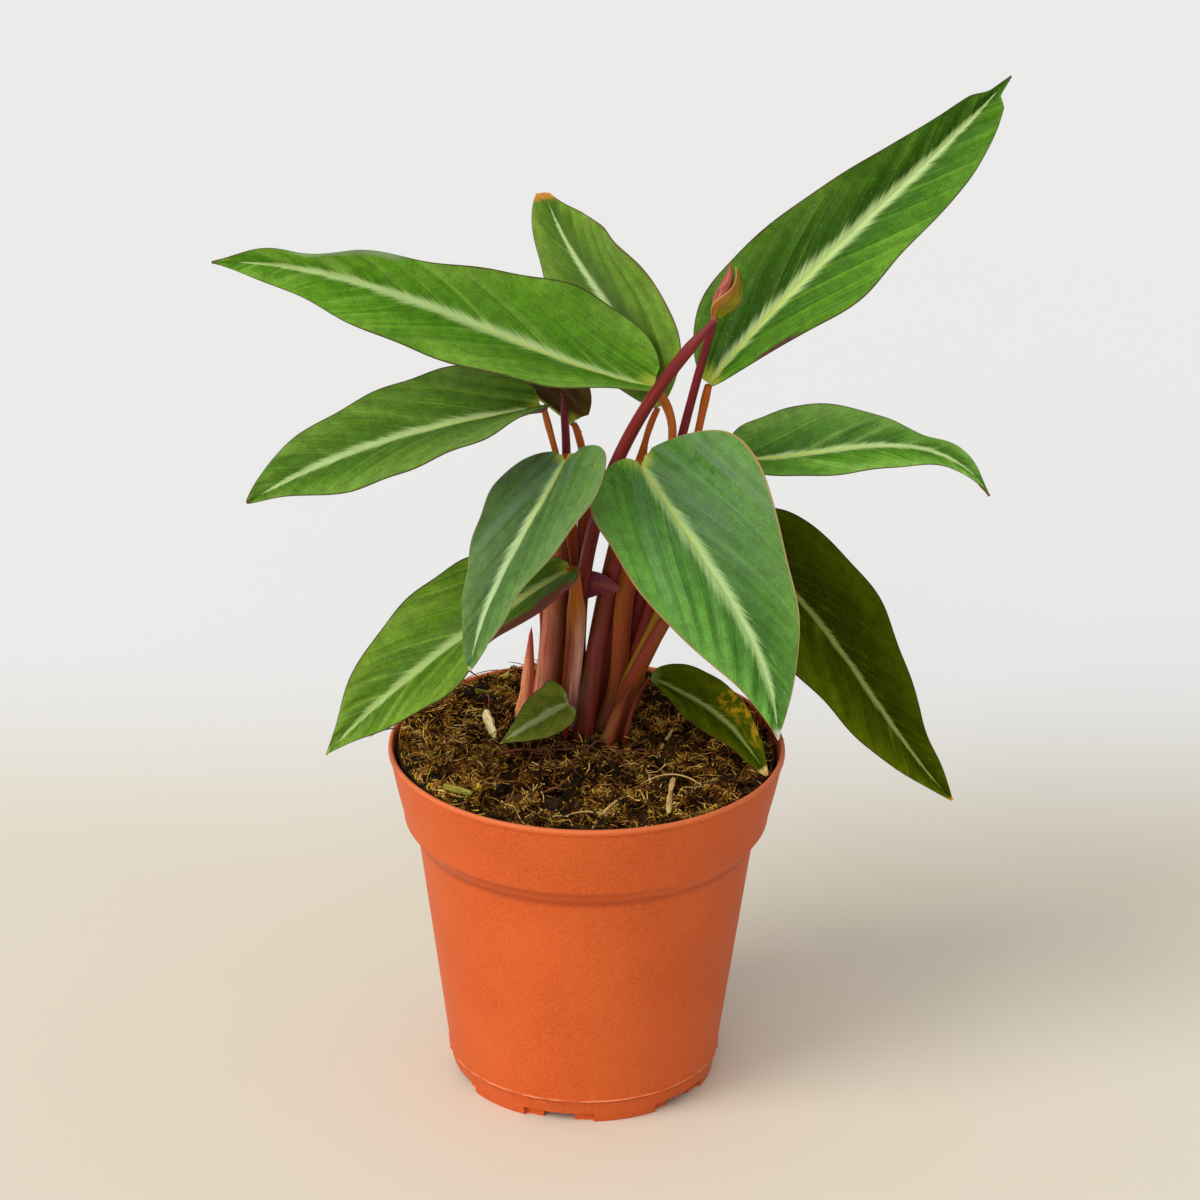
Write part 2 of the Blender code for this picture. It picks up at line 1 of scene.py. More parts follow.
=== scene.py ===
"""The looks of a young potted stromanthe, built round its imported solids.

Metres, +Z up, -Y is the front. The tables hold millimetres, and MM turns them into metres. Blades and
stalks follow the same lines as their solids, with a finer surface.
"""

import json
import math
from typing import NamedTuple

import bpy
import numpy as np
from mathutils import Matrix, Vector, noise


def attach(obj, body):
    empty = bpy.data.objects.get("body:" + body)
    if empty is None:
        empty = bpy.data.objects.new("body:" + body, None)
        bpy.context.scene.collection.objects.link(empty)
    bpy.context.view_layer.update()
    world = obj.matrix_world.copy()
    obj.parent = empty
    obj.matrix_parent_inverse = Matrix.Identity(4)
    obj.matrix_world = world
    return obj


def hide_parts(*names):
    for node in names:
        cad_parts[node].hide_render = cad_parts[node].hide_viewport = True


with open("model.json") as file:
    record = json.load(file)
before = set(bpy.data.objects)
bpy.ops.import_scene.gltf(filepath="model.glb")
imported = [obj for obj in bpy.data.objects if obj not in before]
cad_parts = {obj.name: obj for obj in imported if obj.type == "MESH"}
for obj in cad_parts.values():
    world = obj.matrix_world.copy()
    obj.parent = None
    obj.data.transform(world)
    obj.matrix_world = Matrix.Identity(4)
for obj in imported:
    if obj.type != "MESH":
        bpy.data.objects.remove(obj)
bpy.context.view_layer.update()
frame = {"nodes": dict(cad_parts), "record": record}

MM = 0.001

# Pot
POT_HEIGHT = 95.0
RIM_RADIUS = 52.5
BAND_BOTTOM = 75.5
BAND_BOTTOM_RADIUS = 48.3
LEDGE_BOTTOM = 69.0
BODY_TOP_RADIUS = 44.6
PARTING_HEIGHT = 6.9
PARTING_RADIUS = 36.3
FOOT_RADIUS = 34.8
FOOT_INNER_RADIUS = 32.0
NOTCH_FLOOR_RADIUS = 33.5
CHANNEL_HEIGHT = 3.0
HUB_RADIUS = 20.5
WALL = 1.2
DRAINS = 6
FIRST_DRAIN = math.radians(-100.7)
DRAIN_RADIUS = 3.5
DRAIN_CIRCLE = 26.5
NOTCH_WIDTH = 19.0
NOTCH_HEIGHT = 2.6
SLOT_WIDTH = 8.0
SLOT_HEIGHT = 2.8
POT_STEPS = 240

# Soil
SOIL_LEVEL = 91.5
SOIL_EDGE_RADIUS = 50.2
SOIL_RINGS = 92
SOIL_STEPS = 300
BANK_DIRECTION = math.radians(160)
BANK_HEIGHT = 4.0
CLUMP = (-4.0, 13.0)
MOUND_HEIGHT = 1.6
MOUND_RADIUS = 20.0

# The floor's cream turns white between these distances behind the pot, in metres
FLOOR_TURNS = (0.10, 0.27)

# Blades and stalks
EDGE_PLACES = (0, 0.12, 0.25, 0.4, 0.55, 0.7, 0.82, 0.92, 1)
PLAIN_EDGE = (1,) * 9
TURNED = ("leaf_05",)
VEIN_SPACING = 5.0
BAND_SPACING = 15.0
VEIN_SLANT = 1.85
VEIN_CURVE = 0.07
RIPPLES = 4.0


class Blade(NamedTuple):
    """A leaf blade, as the part's source has it, with a finer edge.

    left and right widen or narrow the two halves at EDGE_PLACES along the blade, and nicks are bites out
    of the edge: the side, the place along it, the depth as a share of the half width, and the length.
    tail is where a drip tip starts and how narrow its two halves are. relax is a half that opens towards
    its base: the side and the degrees.
    """

    line: tuple
    turn: tuple
    half: float
    blunt: float
    taper: float
    lobe: float
    lean: tuple
    fold: float
    droop: float
    ripple: float
    left: tuple = PLAIN_EDGE
    right: tuple = PLAIN_EDGE
    nicks: tuple = ()
    tail: tuple = ()
    relax: tuple = ()
    end: float = 0.995


class Stalk(NamedTuple):
    """A stalk, from where it leaves the soil to its top, with its radius at both ends.

    sheath is the half width of its clasping foot below and above, and the place where that ends.
    """

    line: tuple
    foot: float
    top: float
    look: str
    flat: float = 1.0
    sheath: tuple = (0, 0, 0)
    ease: float = 1.5


BLADES = {
    "leaf_01": Blade(
        ((16.6, 12, 191.3), (-22.9, 7, 206.9), (-59.9, 3, 222.8), (-97.3, 0, 228.8)),
        turn=(81, -3), half=18.5, blunt=0.32, taper=1.05, lobe=1.2,
        lean=(0.15, -0.32), fold=26, droop=-2, ripple=1.2,
        left=(0.91, 0.89, 0.97, 1.02, 0.99, 1.03, 0.91, 0.99, 1.09),
        right=(0.94, 1, 1.01, 0.99, 0.90, 1.12, 1.02, 2.1, 1.95),
    ),
    "leaf_02": Blade(
        ((17.5, 21, 182.2), (7, 37, 200.7), (-1.5, 52, 208.1), (-13.5, 63, 228.1)),
        turn=(-8, -43), half=17.4, blunt=0.65, taper=0.65, lobe=0,
        lean=(0.14, 0), fold=12, droop=9, ripple=0.4,
        left=(0.99, 1, 1.02, 1.05, 1.1, 1.11, 0.93, 0.99, 1.08),
        right=(0.78, 1.01, 1.01, 0.99, 0.99, 1.03, 1.07, 1.06, 0.68),
        end=0.985,
    ),
    "leaf_03": Blade(
        ((30.5, 14, 191.5), (54, 20, 218), (82, 24, 246), (106.5, 24, 273.5)),
        turn=(-47, -1), half=15.9, blunt=0.5, taper=0.86, lobe=0,
        lean=(-0.25, 0.25), fold=22, droop=0, ripple=0.6,
        left=(0.92, 1.04, 1, 0.96, 0.97, 0.98, 1.05, 1.3, 1.35),
        right=(0.74, 0.83, 1.01, 1.12, 0.95, 0.99, 1.04, 0.98, 0.57),
        tail=(0.945, 0.5, 0.42),
    ),
    "leaf_04": Blade(
        ((-12.5, 10, 186), (-39.5, 2, 183.5), (-67.5, -8, 177.5), (-88, -16, 169)),
        turn=(93, 34), half=20.4, blunt=0.25, taper=0.84, lobe=0.2,
        lean=(-0.21, -0.1), fold=22, droop=0, ripple=0.5,
        left=(0.94, 0.85, 0.98, 0.95, 0.99, 1.1, 0.92, 0.65, 0.59),
        right=(1.13, 1.16, 1.06, 0.98, 0.94, 0.98, 1.11, 1.14, 1.13),
    ),
    "leaf_05": Blade(
        ((-4.5, 18.5, 178.6), (-21, 29, 186.6), (-34, 37.5, 189.8), (-49.5, 45, 193.6)),
        turn=(130, 129), half=17.1, blunt=0.34, taper=1.16, lobe=2.6,
        lean=(-0.25, 0), fold=19, droop=2, ripple=0.4,
    ),
    "leaf_06": Blade(
        ((37.5, 12, 172), (63, 13, 174), (89, 12, 174.5), (104.5, 8, 163.5)),
        turn=(-60, -39), half=11.2, blunt=0.47, taper=1.3, lobe=2.4,
        lean=(-0.25, 0.25), fold=22, droop=0, ripple=0.4,
        left=(1.06, 0.91, 1.05, 1.08, 0.95, 0.73, 1.48, 1.9, 1.7),
        right=(0.9, 0.89, 0.96, 1.02, 1.02, 0.96, 0.83, 0.89, 1.02),
    ),
    "leaf_07": Blade(
        ((-6, -2, 177.5), (-13.5, -14, 167), (-23.5, -26, 150.5), (-30, -34, 131)),
        turn=(67, 64), half=21.5, blunt=0.35, taper=0.9, lobe=1.4,
        lean=(-0.23, -0.25), fold=18, droop=7, ripple=0.4,
        left=(0.94, 1.04, 1.07, 1.05, 0.96, 0.95, 1.17, 1.3, 1.21),
        right=(0.94, 1.01, 1.01, 1, 0.98, 1, 1.03, 1.27, 1.41),
        nicks=((-1, 0.86, 0.08, 0.01),),
    ),
    "leaf_08": Blade(
        ((13, -2, 176), (25.5, -20, 163), (41.5, -34, 141), (49, -42, 116)),
        turn=(-33, -7), half=23.9, blunt=0.46, taper=1.2, lobe=2.3,
        lean=(-0.13, 0.07), fold=22, droop=0, ripple=0.5,
        left=(0.93, 1.02, 1.02, 0.96, 0.94, 1.04, 1.03, 1.02, 1.04),
        right=(0.88, 1.06, 0.96, 0.98, 1, 1.01, 0.99, 1.1, 1.24),
    ),
    "leaf_09": Blade(
        ((41.5, 12, 145.5), (62, 8, 125.5), (79, 0, 103.5), (97, -8, 83)),
        turn=(-41, -32), half=16.8, blunt=0.38, taper=1.03, lobe=6,
        lean=(-0.13, 0.07), fold=12, droop=9, ripple=0.5,
        left=(1.15, 1, 0.97, 1.03, 0.98, 0.98, 0.95, 1.27, 1.53),
        right=(1.01, 1.03, 1.05, 1.02, 0.96, 1.05, 1.02, 0.91, 0.91),
    ),
    "leaf_10": Blade(
        ((-4.5, 2, 144.5), (-27, -8, 133), (-51, -16, 116.5), (-68, -20, 100)),
        turn=(93, 20), half=21.7, blunt=0.49, taper=1.13, lobe=0.5,
        lean=(-0.25, 0.04), fold=27, droop=-7, ripple=0.5,
        left=(0.84, 0.62, 0.52, 0.87, 1.15, 1.02, 1.02, 0.87, 0.85),
        right=(0.9, 0.95, 1.01, 0.98, 0.97, 1.01, 1.05, 0.92, 0.86),
        relax=(-1, 25),
    ),
    "leaf_11": Blade(
        ((-11.5, 17, 129.5), (-4.5, 14, 133.5), (2, 10.4, 136.5), (8.5, 6.5, 136)),
        turn=(172, 172), half=4.2, blunt=0.5, taper=0.8, lobe=1,
        lean=(0, 0), fold=10, droop=5, ripple=0,
    ),
    "leaf_12": Blade(
        ((-5, 2, 105.5), (-11, -5, 105.5), (-16.5, -13, 105.5), (-22.5, -20, 104)),
        turn=(42, 25), half=6.7, blunt=0.31, taper=1.01, lobe=0.8,
        lean=(0.2, -0.08), fold=14, droop=7, ripple=0.2,
        left=(0.99, 1, 1.01, 1.03, 1.06, 1.08, 1.11, 1.07, 1.01),
        right=(0.92, 1.06, 0.93, 0.99, 1.05, 0.96, 0.91, 0.89, 0.92),
    ),
    "leaf_13": Blade(
        ((16.5, 10, 109.5), (32, 3, 104), (38.5, -6, 102), (47.5, -16, 93.5)),
        turn=(-70, -41), half=8.4, blunt=0.41, taper=0.77, lobe=0,
        lean=(-0.1, 0.17), fold=22, droop=0, ripple=0.2,
        left=(0.97, 1.05, 1, 0.97, 1.01, 0.99, 0.99, 1, 1),
        right=(0.83, 0.89, 0.98, 1, 1.02, 1, 0.95, 1.06, 1.14),
    ),
}

STALKS = {
    "leaf_01_stalk": Stalk(
        ((2, 10.2, 92), (8.6, 12.9, 118), (17, 11.6, 160), (21, 11.2, 182.4), (16.9, 12, 190.9)),
        foot=1.6, top=1.1, look="amber", sheath=(2.5, 2.5, 0.6),
    ),
    "leaf_02_stalk": Stalk(
        ((1.2, 14.4, 92), (6.2, 17, 118), (11.8, 19, 152), (14.6, 20.4, 174), (17.2, 20.9, 181.5)),
        foot=1.5, top=0.8, look="wine", sheath=(2.6, 2.7, 0.8),
    ),
    "leaf_03_stalk": Stalk(
        ((6.3, 14.5, 92), (16.3, 14.6, 125), (24.8, 14.8, 160), (28.2, 14.6, 179), (30.4, 14, 191.2)),
        foot=1.6, top=1, look="wine", sheath=(2.4, 2.5, 0.6),
    ),
    "leaf_04_stalk": Stalk(
        ((-9.6, 22.3, 92), (-7.5, 20.5, 116), (-5.1, 16.8, 145), (-8.8, 12.2, 172), (-12, 10.2, 185.3)),
        foot=1.5, top=0.8, look="amber", sheath=(2.5, 2.0, 0.7),
    ),
    "leaf_05_stalk": Stalk(
        ((-5.9, 23.9, 92), (-3.4, 22, 115), (-1.4, 19.6, 144), (-1.6, 18, 168), (-3.9, 18, 177.7)),
        foot=1.5, top=0.9, look="wine", sheath=(2.4, 2.2, 0.78),
    ),
    "leaf_06_stalk": Stalk(
        ((8.6, 9.9, 92), (18, 10.2, 124), (28, 11.6, 152), (34, 12, 167), (36.7, 12, 171.1)),
        foot=1.5, top=1, look="olive", sheath=(2.7, 2.6, 0.75),
    ),
    "leaf_07_stalk": Stalk(
        ((-11.3, 16, 92), (-9.4, 13.8, 115), (-8.3, 10.8, 133), (-7.3, 6, 158), (-5.8, -1.1, 176.5)),
        foot=3, top=1.1, look="salmon", flat=0.68, sheath=(4.0, 3.5, 0.6),
    ),
    "leaf_08_stalk": Stalk(
        ((-1, 6.5, 92), (1.7, 9.8, 116), (4.9, 12.6, 135), (9.1, 8, 157), (12.7, -1.5, 175.5)),
        foot=2.2, top=1.3, look="bark", sheath=(2.8, 2.1, 0.8),
    ),
    "leaf_09_stalk": Stalk(
        ((6, 6.3, 92), (14, 5.4, 116), (24, 7, 134), (34, 10.8, 143), (40.2, 12.4, 144)),
        foot=1.5, top=1, look="rose", sheath=(1.9, 1.8, 0.6),
    ),
    "leaf_10_stalk": Stalk(
        ((-5.4, 11.5, 92), (-4.1, 8, 114), (-3.3, 5, 128), (-3.4, 3, 138), (-4, 2.2, 143.8)),
        foot=2, top=1.5, look="umber", sheath=(2.6, 2.5, 0.8),
    ),
    "leaf_11_stalk": Stalk(
        ((-14.6, 21, 92), (-13.2, 20, 104), (-12.2, 19.2, 116), (-12.1, 18.4, 123), (-12.5, 17.6, 128.1)),
        foot=1.2, top=0.8, look="salmon",
    ),
    "leaf_12_stalk": Stalk(
        ((-6.2, 6.2, 92), (-6, 5.2, 96), (-5.6, 3.8, 101), (-5.2, 2.4, 104.6)),
        foot=1, top=0.7, look="bark",
    ),
    "leaf_13_stalk": Stalk(
        ((9.8, 7.6, 92), (11, 8.4, 98), (13, 9.4, 104), (16, 10, 109)),
        foot=1, top=0.7, look="rose",
    ),
    "rolled_leaf_stalk": Stalk(
        ((-3.6, 17, 92), (-3.0, 11.4, 119), (0.3, 5.8, 150), (9.5, -0.5, 181.5), (31.4, -4, 216.3)),
        foot=2.1, top=1.6, look="crimson", sheath=(3.1, 2.4, 0.22),
    ),
    "furled_shoot_right": Stalk(
        ((3.6, 18, 92), (11.5, 17.6, 120), (18.2, 15.4, 150), (24.3, 13, 179.5), (33, 9.5, 216.6)),
        foot=1.6, top=1.1, look="furled", sheath=(2.6, 2.5, 0.5),
    ),
    "furled_shoot_left": Stalk(
        ((-9.4, 26.6, 92), (-7, 24.5, 114), (-6.2, 20.8, 143), (-6.2, 13.6, 171), (-7.4, 11.6, 190)),
        foot=1.6, top=1.0, look="plum", ease=0.8,
    ),
    "basal_shoot": Stalk(
        ((-17.6, 22.4, 92), (-16.2, 22, 101), (-15.6, 21.6, 110), (-15.2, 21.2, 119)),
        foot=2.6, top=0.2, look="shoot", ease=0.8,
    ),
    "basal_sheath": Stalk(
        ((4.2, 2.8, 92), (6.4, 2.6, 98), (9, 2.4, 105), (11.6, 2.2, 111)),
        foot=2.2, top=0.3, look="moss", ease=0.8,
    ),
}

ROLLED_LEAF_LINE = ((31.9, -4, 217.3), (33.6, -4, 222), (35.6, -3.8, 227), (35.8, -3.6, 231.6))


# Camera, lights and floor


def set_camera():
    """The camera at the photograph's angle: 23.7 degrees down, with a slight roll."""
    pitch = math.radians(23.7)
    roll = math.radians(0.7)
    ahead = Vector((0, math.cos(pitch), -math.sin(pitch)))
    level_right = Vector((1, 0, 0))
    level_up = level_right.cross(ahead)
    right = level_right * math.cos(roll) + level_up * math.sin(roll)
    up = level_up * math.cos(roll) - level_right * math.sin(roll)
    place = Vector((3.0, 0, 136.4)) * MM - ahead * 1.307
    lens = bpy.data.cameras.new("view")
    lens.lens = 150
    lens.sensor_width = 36
    lens.clip_start = 0.05
    lens.clip_end = 30
    camera = bpy.data.objects.new("view", lens)
    bpy.context.scene.collection.objects.link(camera)
    turn = Matrix((right, up, -ahead)).transposed().to_4x4()
    camera.matrix_world = Matrix.Translation(place) @ turn
    bpy.context.scene.camera = camera


def add_light(name, direction, softness, power, colour):
    """A broad far light: direction points from the plant to it, and softness is its width in degrees."""
    data = bpy.data.lights.new(name, "SUN")
    data.angle = math.radians(softness)
    data.energy = power
    data.color = colour
    lamp = bpy.data.objects.new(name, data)
    bpy.context.scene.collection.objects.link(lamp)
    lamp.rotation_euler = Vector(direction).to_track_quat("Z", "Y").to_euler()


def set_studio():
    world = bpy.data.worlds.new("studio")
    world.use_nodes = True
    sky = world.node_tree.nodes["Background"]
    sky.inputs["Color"].default_value = (0.96, 0.98, 1.0, 1)
    sky.inputs["Strength"].default_value = 0.60
    bpy.context.scene.world = world
    bpy.context.scene.view_settings.view_transform = "Standard"
    add_light("window", (-0.72, -0.46, 0.62), 34, 1.9, (1.0, 0.985, 0.955))
    add_light("front", (-0.3, -0.88, 0.42), 50, 0.85, (1.0, 0.98, 0.95))


def add_floor():
    mesh = bpy.data.meshes.new("floor")
    side = 6.0
    corners = [(-side, -side, 0), (side, -side, 0), (side, side, 0), (-side, side, 0)]
    mesh.from_pydata(corners, [], [(0, 1, 2, 3)])
    floor = bpy.data.objects.new("floor", mesh)
    bpy.context.scene.collection.objects.link(floor)
    finish = Finish("floor", 0.7)
    grain = finish.noise(finish.place(), 3.0, 3)
    near = finish.mix(grain, (0.735, 0.668, 0.535), (0.755, 0.688, 0.553))
    far = finish.mix(grain, (0.80, 0.795, 0.785), (0.82, 0.815, 0.805))
    depth = finish.parts(finish.place())[1]
    finish.colour(finish.mix(finish.smooth(depth, FLOOR_TURNS[0], FLOOR_TURNS[1]), near, far))
    mesh.materials.append(finish.made)


# Finishes


class Finish:
    """One material and the nodes that make it."""

    def __init__(self, name, roughness, specular=0.5):
        self.made = bpy.data.materials.new(name)
        self.made.use_nodes = True
        self.tree = self.made.node_tree
        self.shader = self.tree.nodes["Principled BSDF"]
        self.shader.inputs["Roughness"].default_value = roughness
        self.shader.inputs["Specular IOR Level"].default_value = specular

    def node(self, kind, **settings):
        made = self.tree.nodes.new(kind)
        for key, value in settings.items():
            setattr(made, key, value)
        return made

    def feed(self, socket, value):
        if isinstance(value, bpy.types.NodeSocket):
            self.tree.links.new(value, socket)
        elif isinstance(value, tuple) and socket.type == "RGBA":
            socket.default_value = (*value, 1)
        else:
            socket.default_value = value

    def math(self, operation, *values):
        made = self.node("ShaderNodeMath", operation=operation)
        for socket, value in zip(made.inputs, values):
            self.feed(socket, value)
        return made.outputs[0]

    def smooth(self, value, low, high, start=0.0, end=1.0):
        """A soft step: start below low, end above high."""
        made = self.node("ShaderNodeMapRange", interpolation_type="SMOOTHSTEP")
        for socket, part in zip(made.inputs, (value, low, high, start, end)):
            self.feed(socket, part)
        return made.outputs[0]

    def mix(self, share, first, second, way="MIX"):
        made = self.node("ShaderNodeMix", data_type="RGBA", blend_type=way)
        self.feed(made.inputs[0], share)
        self.feed(made.inputs[6], first)
        self.feed(made.inputs[7], second)
        return made.outputs[2]

    def vector(self, x, y, z):
        made = self.node("ShaderNodeCombineXYZ")
        for socket, value in zip(made.inputs, (x, y, z)):
            self.feed(socket, value)
        return made.outputs[0]

    def parts(self, vector):
        made = self.node("ShaderNodeSeparateXYZ")
        self.feed(made.inputs[0], vector)
        return made.outputs

    def noise(self, vector, scale, detail=2.0, rough=0.5):
        made = self.node("ShaderNodeTexNoise")
        self.feed(made.inputs["Vector"], vector)
        made.inputs["Scale"].default_value = scale
        made.inputs["Detail"].default_value = detail
        made.inputs["Roughness"].default_value = rough
        return made.outputs[0]

    def cells(self, vector, scale):
        made = self.node("ShaderNodeTexVoronoi")
        self.feed(made.inputs["Vector"], vector)
        made.inputs["Scale"].default_value = scale
        return made.outputs[0]

    def place(self):
        return self.node("ShaderNodeTexCoord").outputs["Object"]

    def attribute(self, name, kind="Fac"):
        return self.node("ShaderNodeAttribute", attribute_name=name).outputs[kind]

    def ramp(self, value, stops):
        """A colour ramp through (place, colour) stops."""
        made = self.node("ShaderNodeValToRGB")
        self.feed(made.inputs[0], value)
        band = made.color_ramp.elements
        while len(band) < len(stops):
            band.new(0.5)
        for element, (place, colour) in zip(band, stops):
            element.position = place
            element.color = (*colour, 1)
        return made.outputs[0]

    def colour(self, value):
        self.feed(self.shader.inputs["Base Color"], value)

    def rough(self, value):
        self.feed(self.shader.inputs["Roughness"], value)

    def relief(self, height, strength, distance):
        made = self.node("ShaderNodeBump")
        made.inputs["Strength"].default_value = strength
        made.inputs["Distance"].default_value = distance
        self.feed(made.inputs["Height"], height)
        self.tree.links.new(made.outputs[0], self.shader.inputs["Normal"])


class Leaf(NamedTuple):
    """The colours of one blade's upper side."""

    seed: float
    dark: tuple = (0.022, 0.078, 0.002)
    mid: tuple = (0.058, 0.172, 0.005)
    light: tuple = (0.135, 0.275, 0.022)
    pale: tuple = (0.46, 0.60, 0.24)
    core: tuple = (0.46, 0.52, 0.05)
    edge: tuple = (0.060, 0.028, 0.016)
    tip: tuple = (0.10, 0.05, 0.02)
    stripe: float = 2.5
    gloss: float = 0.16
    tip_start: float = 0.975
    # How strongly the broad bands show: painted highlights on the pleat crests, painted shade in the troughs.
    bands: float = 0.5
    # A painted sheen of reflected light.
    painted_sheen: float = 0.0
    # Scales the colours of the two halves: painted light on one half, painted shade on the other.
    sides: tuple = (1.0, 1.0)


LEAVES = {
    "leaf_01": Leaf(1.0, stripe=2.1, bands=0.9, dark=(0.036, 0.130, 0.002), mid=(0.092, 0.245, 0.006),
                    light=(0.21, 0.375, 0.045)),
    "leaf_02": Leaf(2.0, mid=(0.095, 0.20, 0.008), tip=(0.58, 0.25, 0.03), tip_start=0.955, stripe=1.9,
                    light=(0.19, 0.31, 0.035), edge=(0.12, 0.040, 0.012)),
    "leaf_03": Leaf(3.0, stripe=2.4, bands=0.9, dark=(0.014, 0.055, 0.001), mid=(0.046, 0.145, 0.003),
                    light=(0.13, 0.27, 0.022), sides=(0.68, 1.12), gloss=0.09),
    "leaf_04": Leaf(4.0, stripe=2.1, dark=(0.032, 0.094, 0.003), mid=(0.082, 0.190, 0.010),
                    light=(0.175, 0.300, 0.040)),
    "leaf_05": Leaf(5.0, dark=(0.024, 0.009, 0.001), mid=(0.052, 0.022, 0.003), light=(0.07, 0.060, 0.006),
                    pale=(0.10, 0.09, 0.02), stripe=0.8, gloss=0.05),
    "leaf_06": Leaf(6.0, stripe=1.25, mid=(0.062, 0.185, 0.008), light=(0.19, 0.34, 0.06), bands=1.0,
                    sides=(0.94, 1.40)),
    "leaf_07": Leaf(7.0, dark=(0.030, 0.080, 0.012), mid=(0.062, 0.145, 0.022), light=(0.13, 0.235, 0.055),
                    pale=(0.40, 0.54, 0.24), edge=(0.22, 0.20, 0.07), tip=(0.62, 0.62, 0.36), stripe=2.2,
                    painted_sheen=0.30, gloss=0.20, bands=0.7, sides=(1.18, 0.86)),
    "leaf_08": Leaf(8.0, dark=(0.022, 0.080, 0.009), mid=(0.056, 0.165, 0.016), light=(0.115, 0.25, 0.040),
                    pale=(0.40, 0.56, 0.22), edge=(0.36, 0.20, 0.07), tip=(0.45, 0.47, 0.35), stripe=2.7,
                    painted_sheen=0.30, tip_start=0.955, gloss=0.18, bands=0.7, sides=(0.98, 1.60)),
    "leaf_09": Leaf(9.0, dark=(0.018, 0.024, 0.001), mid=(0.040, 0.058, 0.001), light=(0.085, 0.115, 0.002),
                    pale=(0.26, 0.31, 0.08), core=(0.24, 0.28, 0.05), tip=(0.60, 0.28, 0.02), stripe=1.1,
                    gloss=0.0, sides=(0.90, 1.28)),
    "leaf_10": Leaf(10.0, dark=(0.037, 0.097, 0.003), mid=(0.093, 0.205, 0.007), light=(0.21, 0.34, 0.032),
                    pale=(0.40, 0.53, 0.18), tip=(0.50, 0.38, 0.04), stripe=2.2, bands=0.9),
    "leaf_11": Leaf(11.0, dark=(0.10, 0.018, 0.018), mid=(0.15, 0.026, 0.028), stripe=0.4,
                    light=(0.17, 0.03, 0.03), pale=(0.2, 0.05, 0.04), core=(0.2, 0.06, 0.03)),
    "leaf_12": Leaf(12.0, dark=(0.068, 0.098, 0.008), mid=(0.140, 0.188, 0.013), light=(0.23, 0.28, 0.035),
                    pale=(0.38, 0.46, 0.18), core=(0.30, 0.36, 0.12), tip=(0.6, 0.48, 0.08), stripe=1.3,
                    gloss=0.08),
    "leaf_13": Leaf(13.0, dark=(0.020, 0.034, 0.001), mid=(0.050, 0.075, 0.001), light=(0.11, 0.13, 0.004),
                    pale=(0.22, 0.27, 0.07), core=(0.18, 0.24, 0.06), tip=(0.66, 0.47, 0.16), stripe=1.2,
                    tip_start=0.94, gloss=0.0),
}


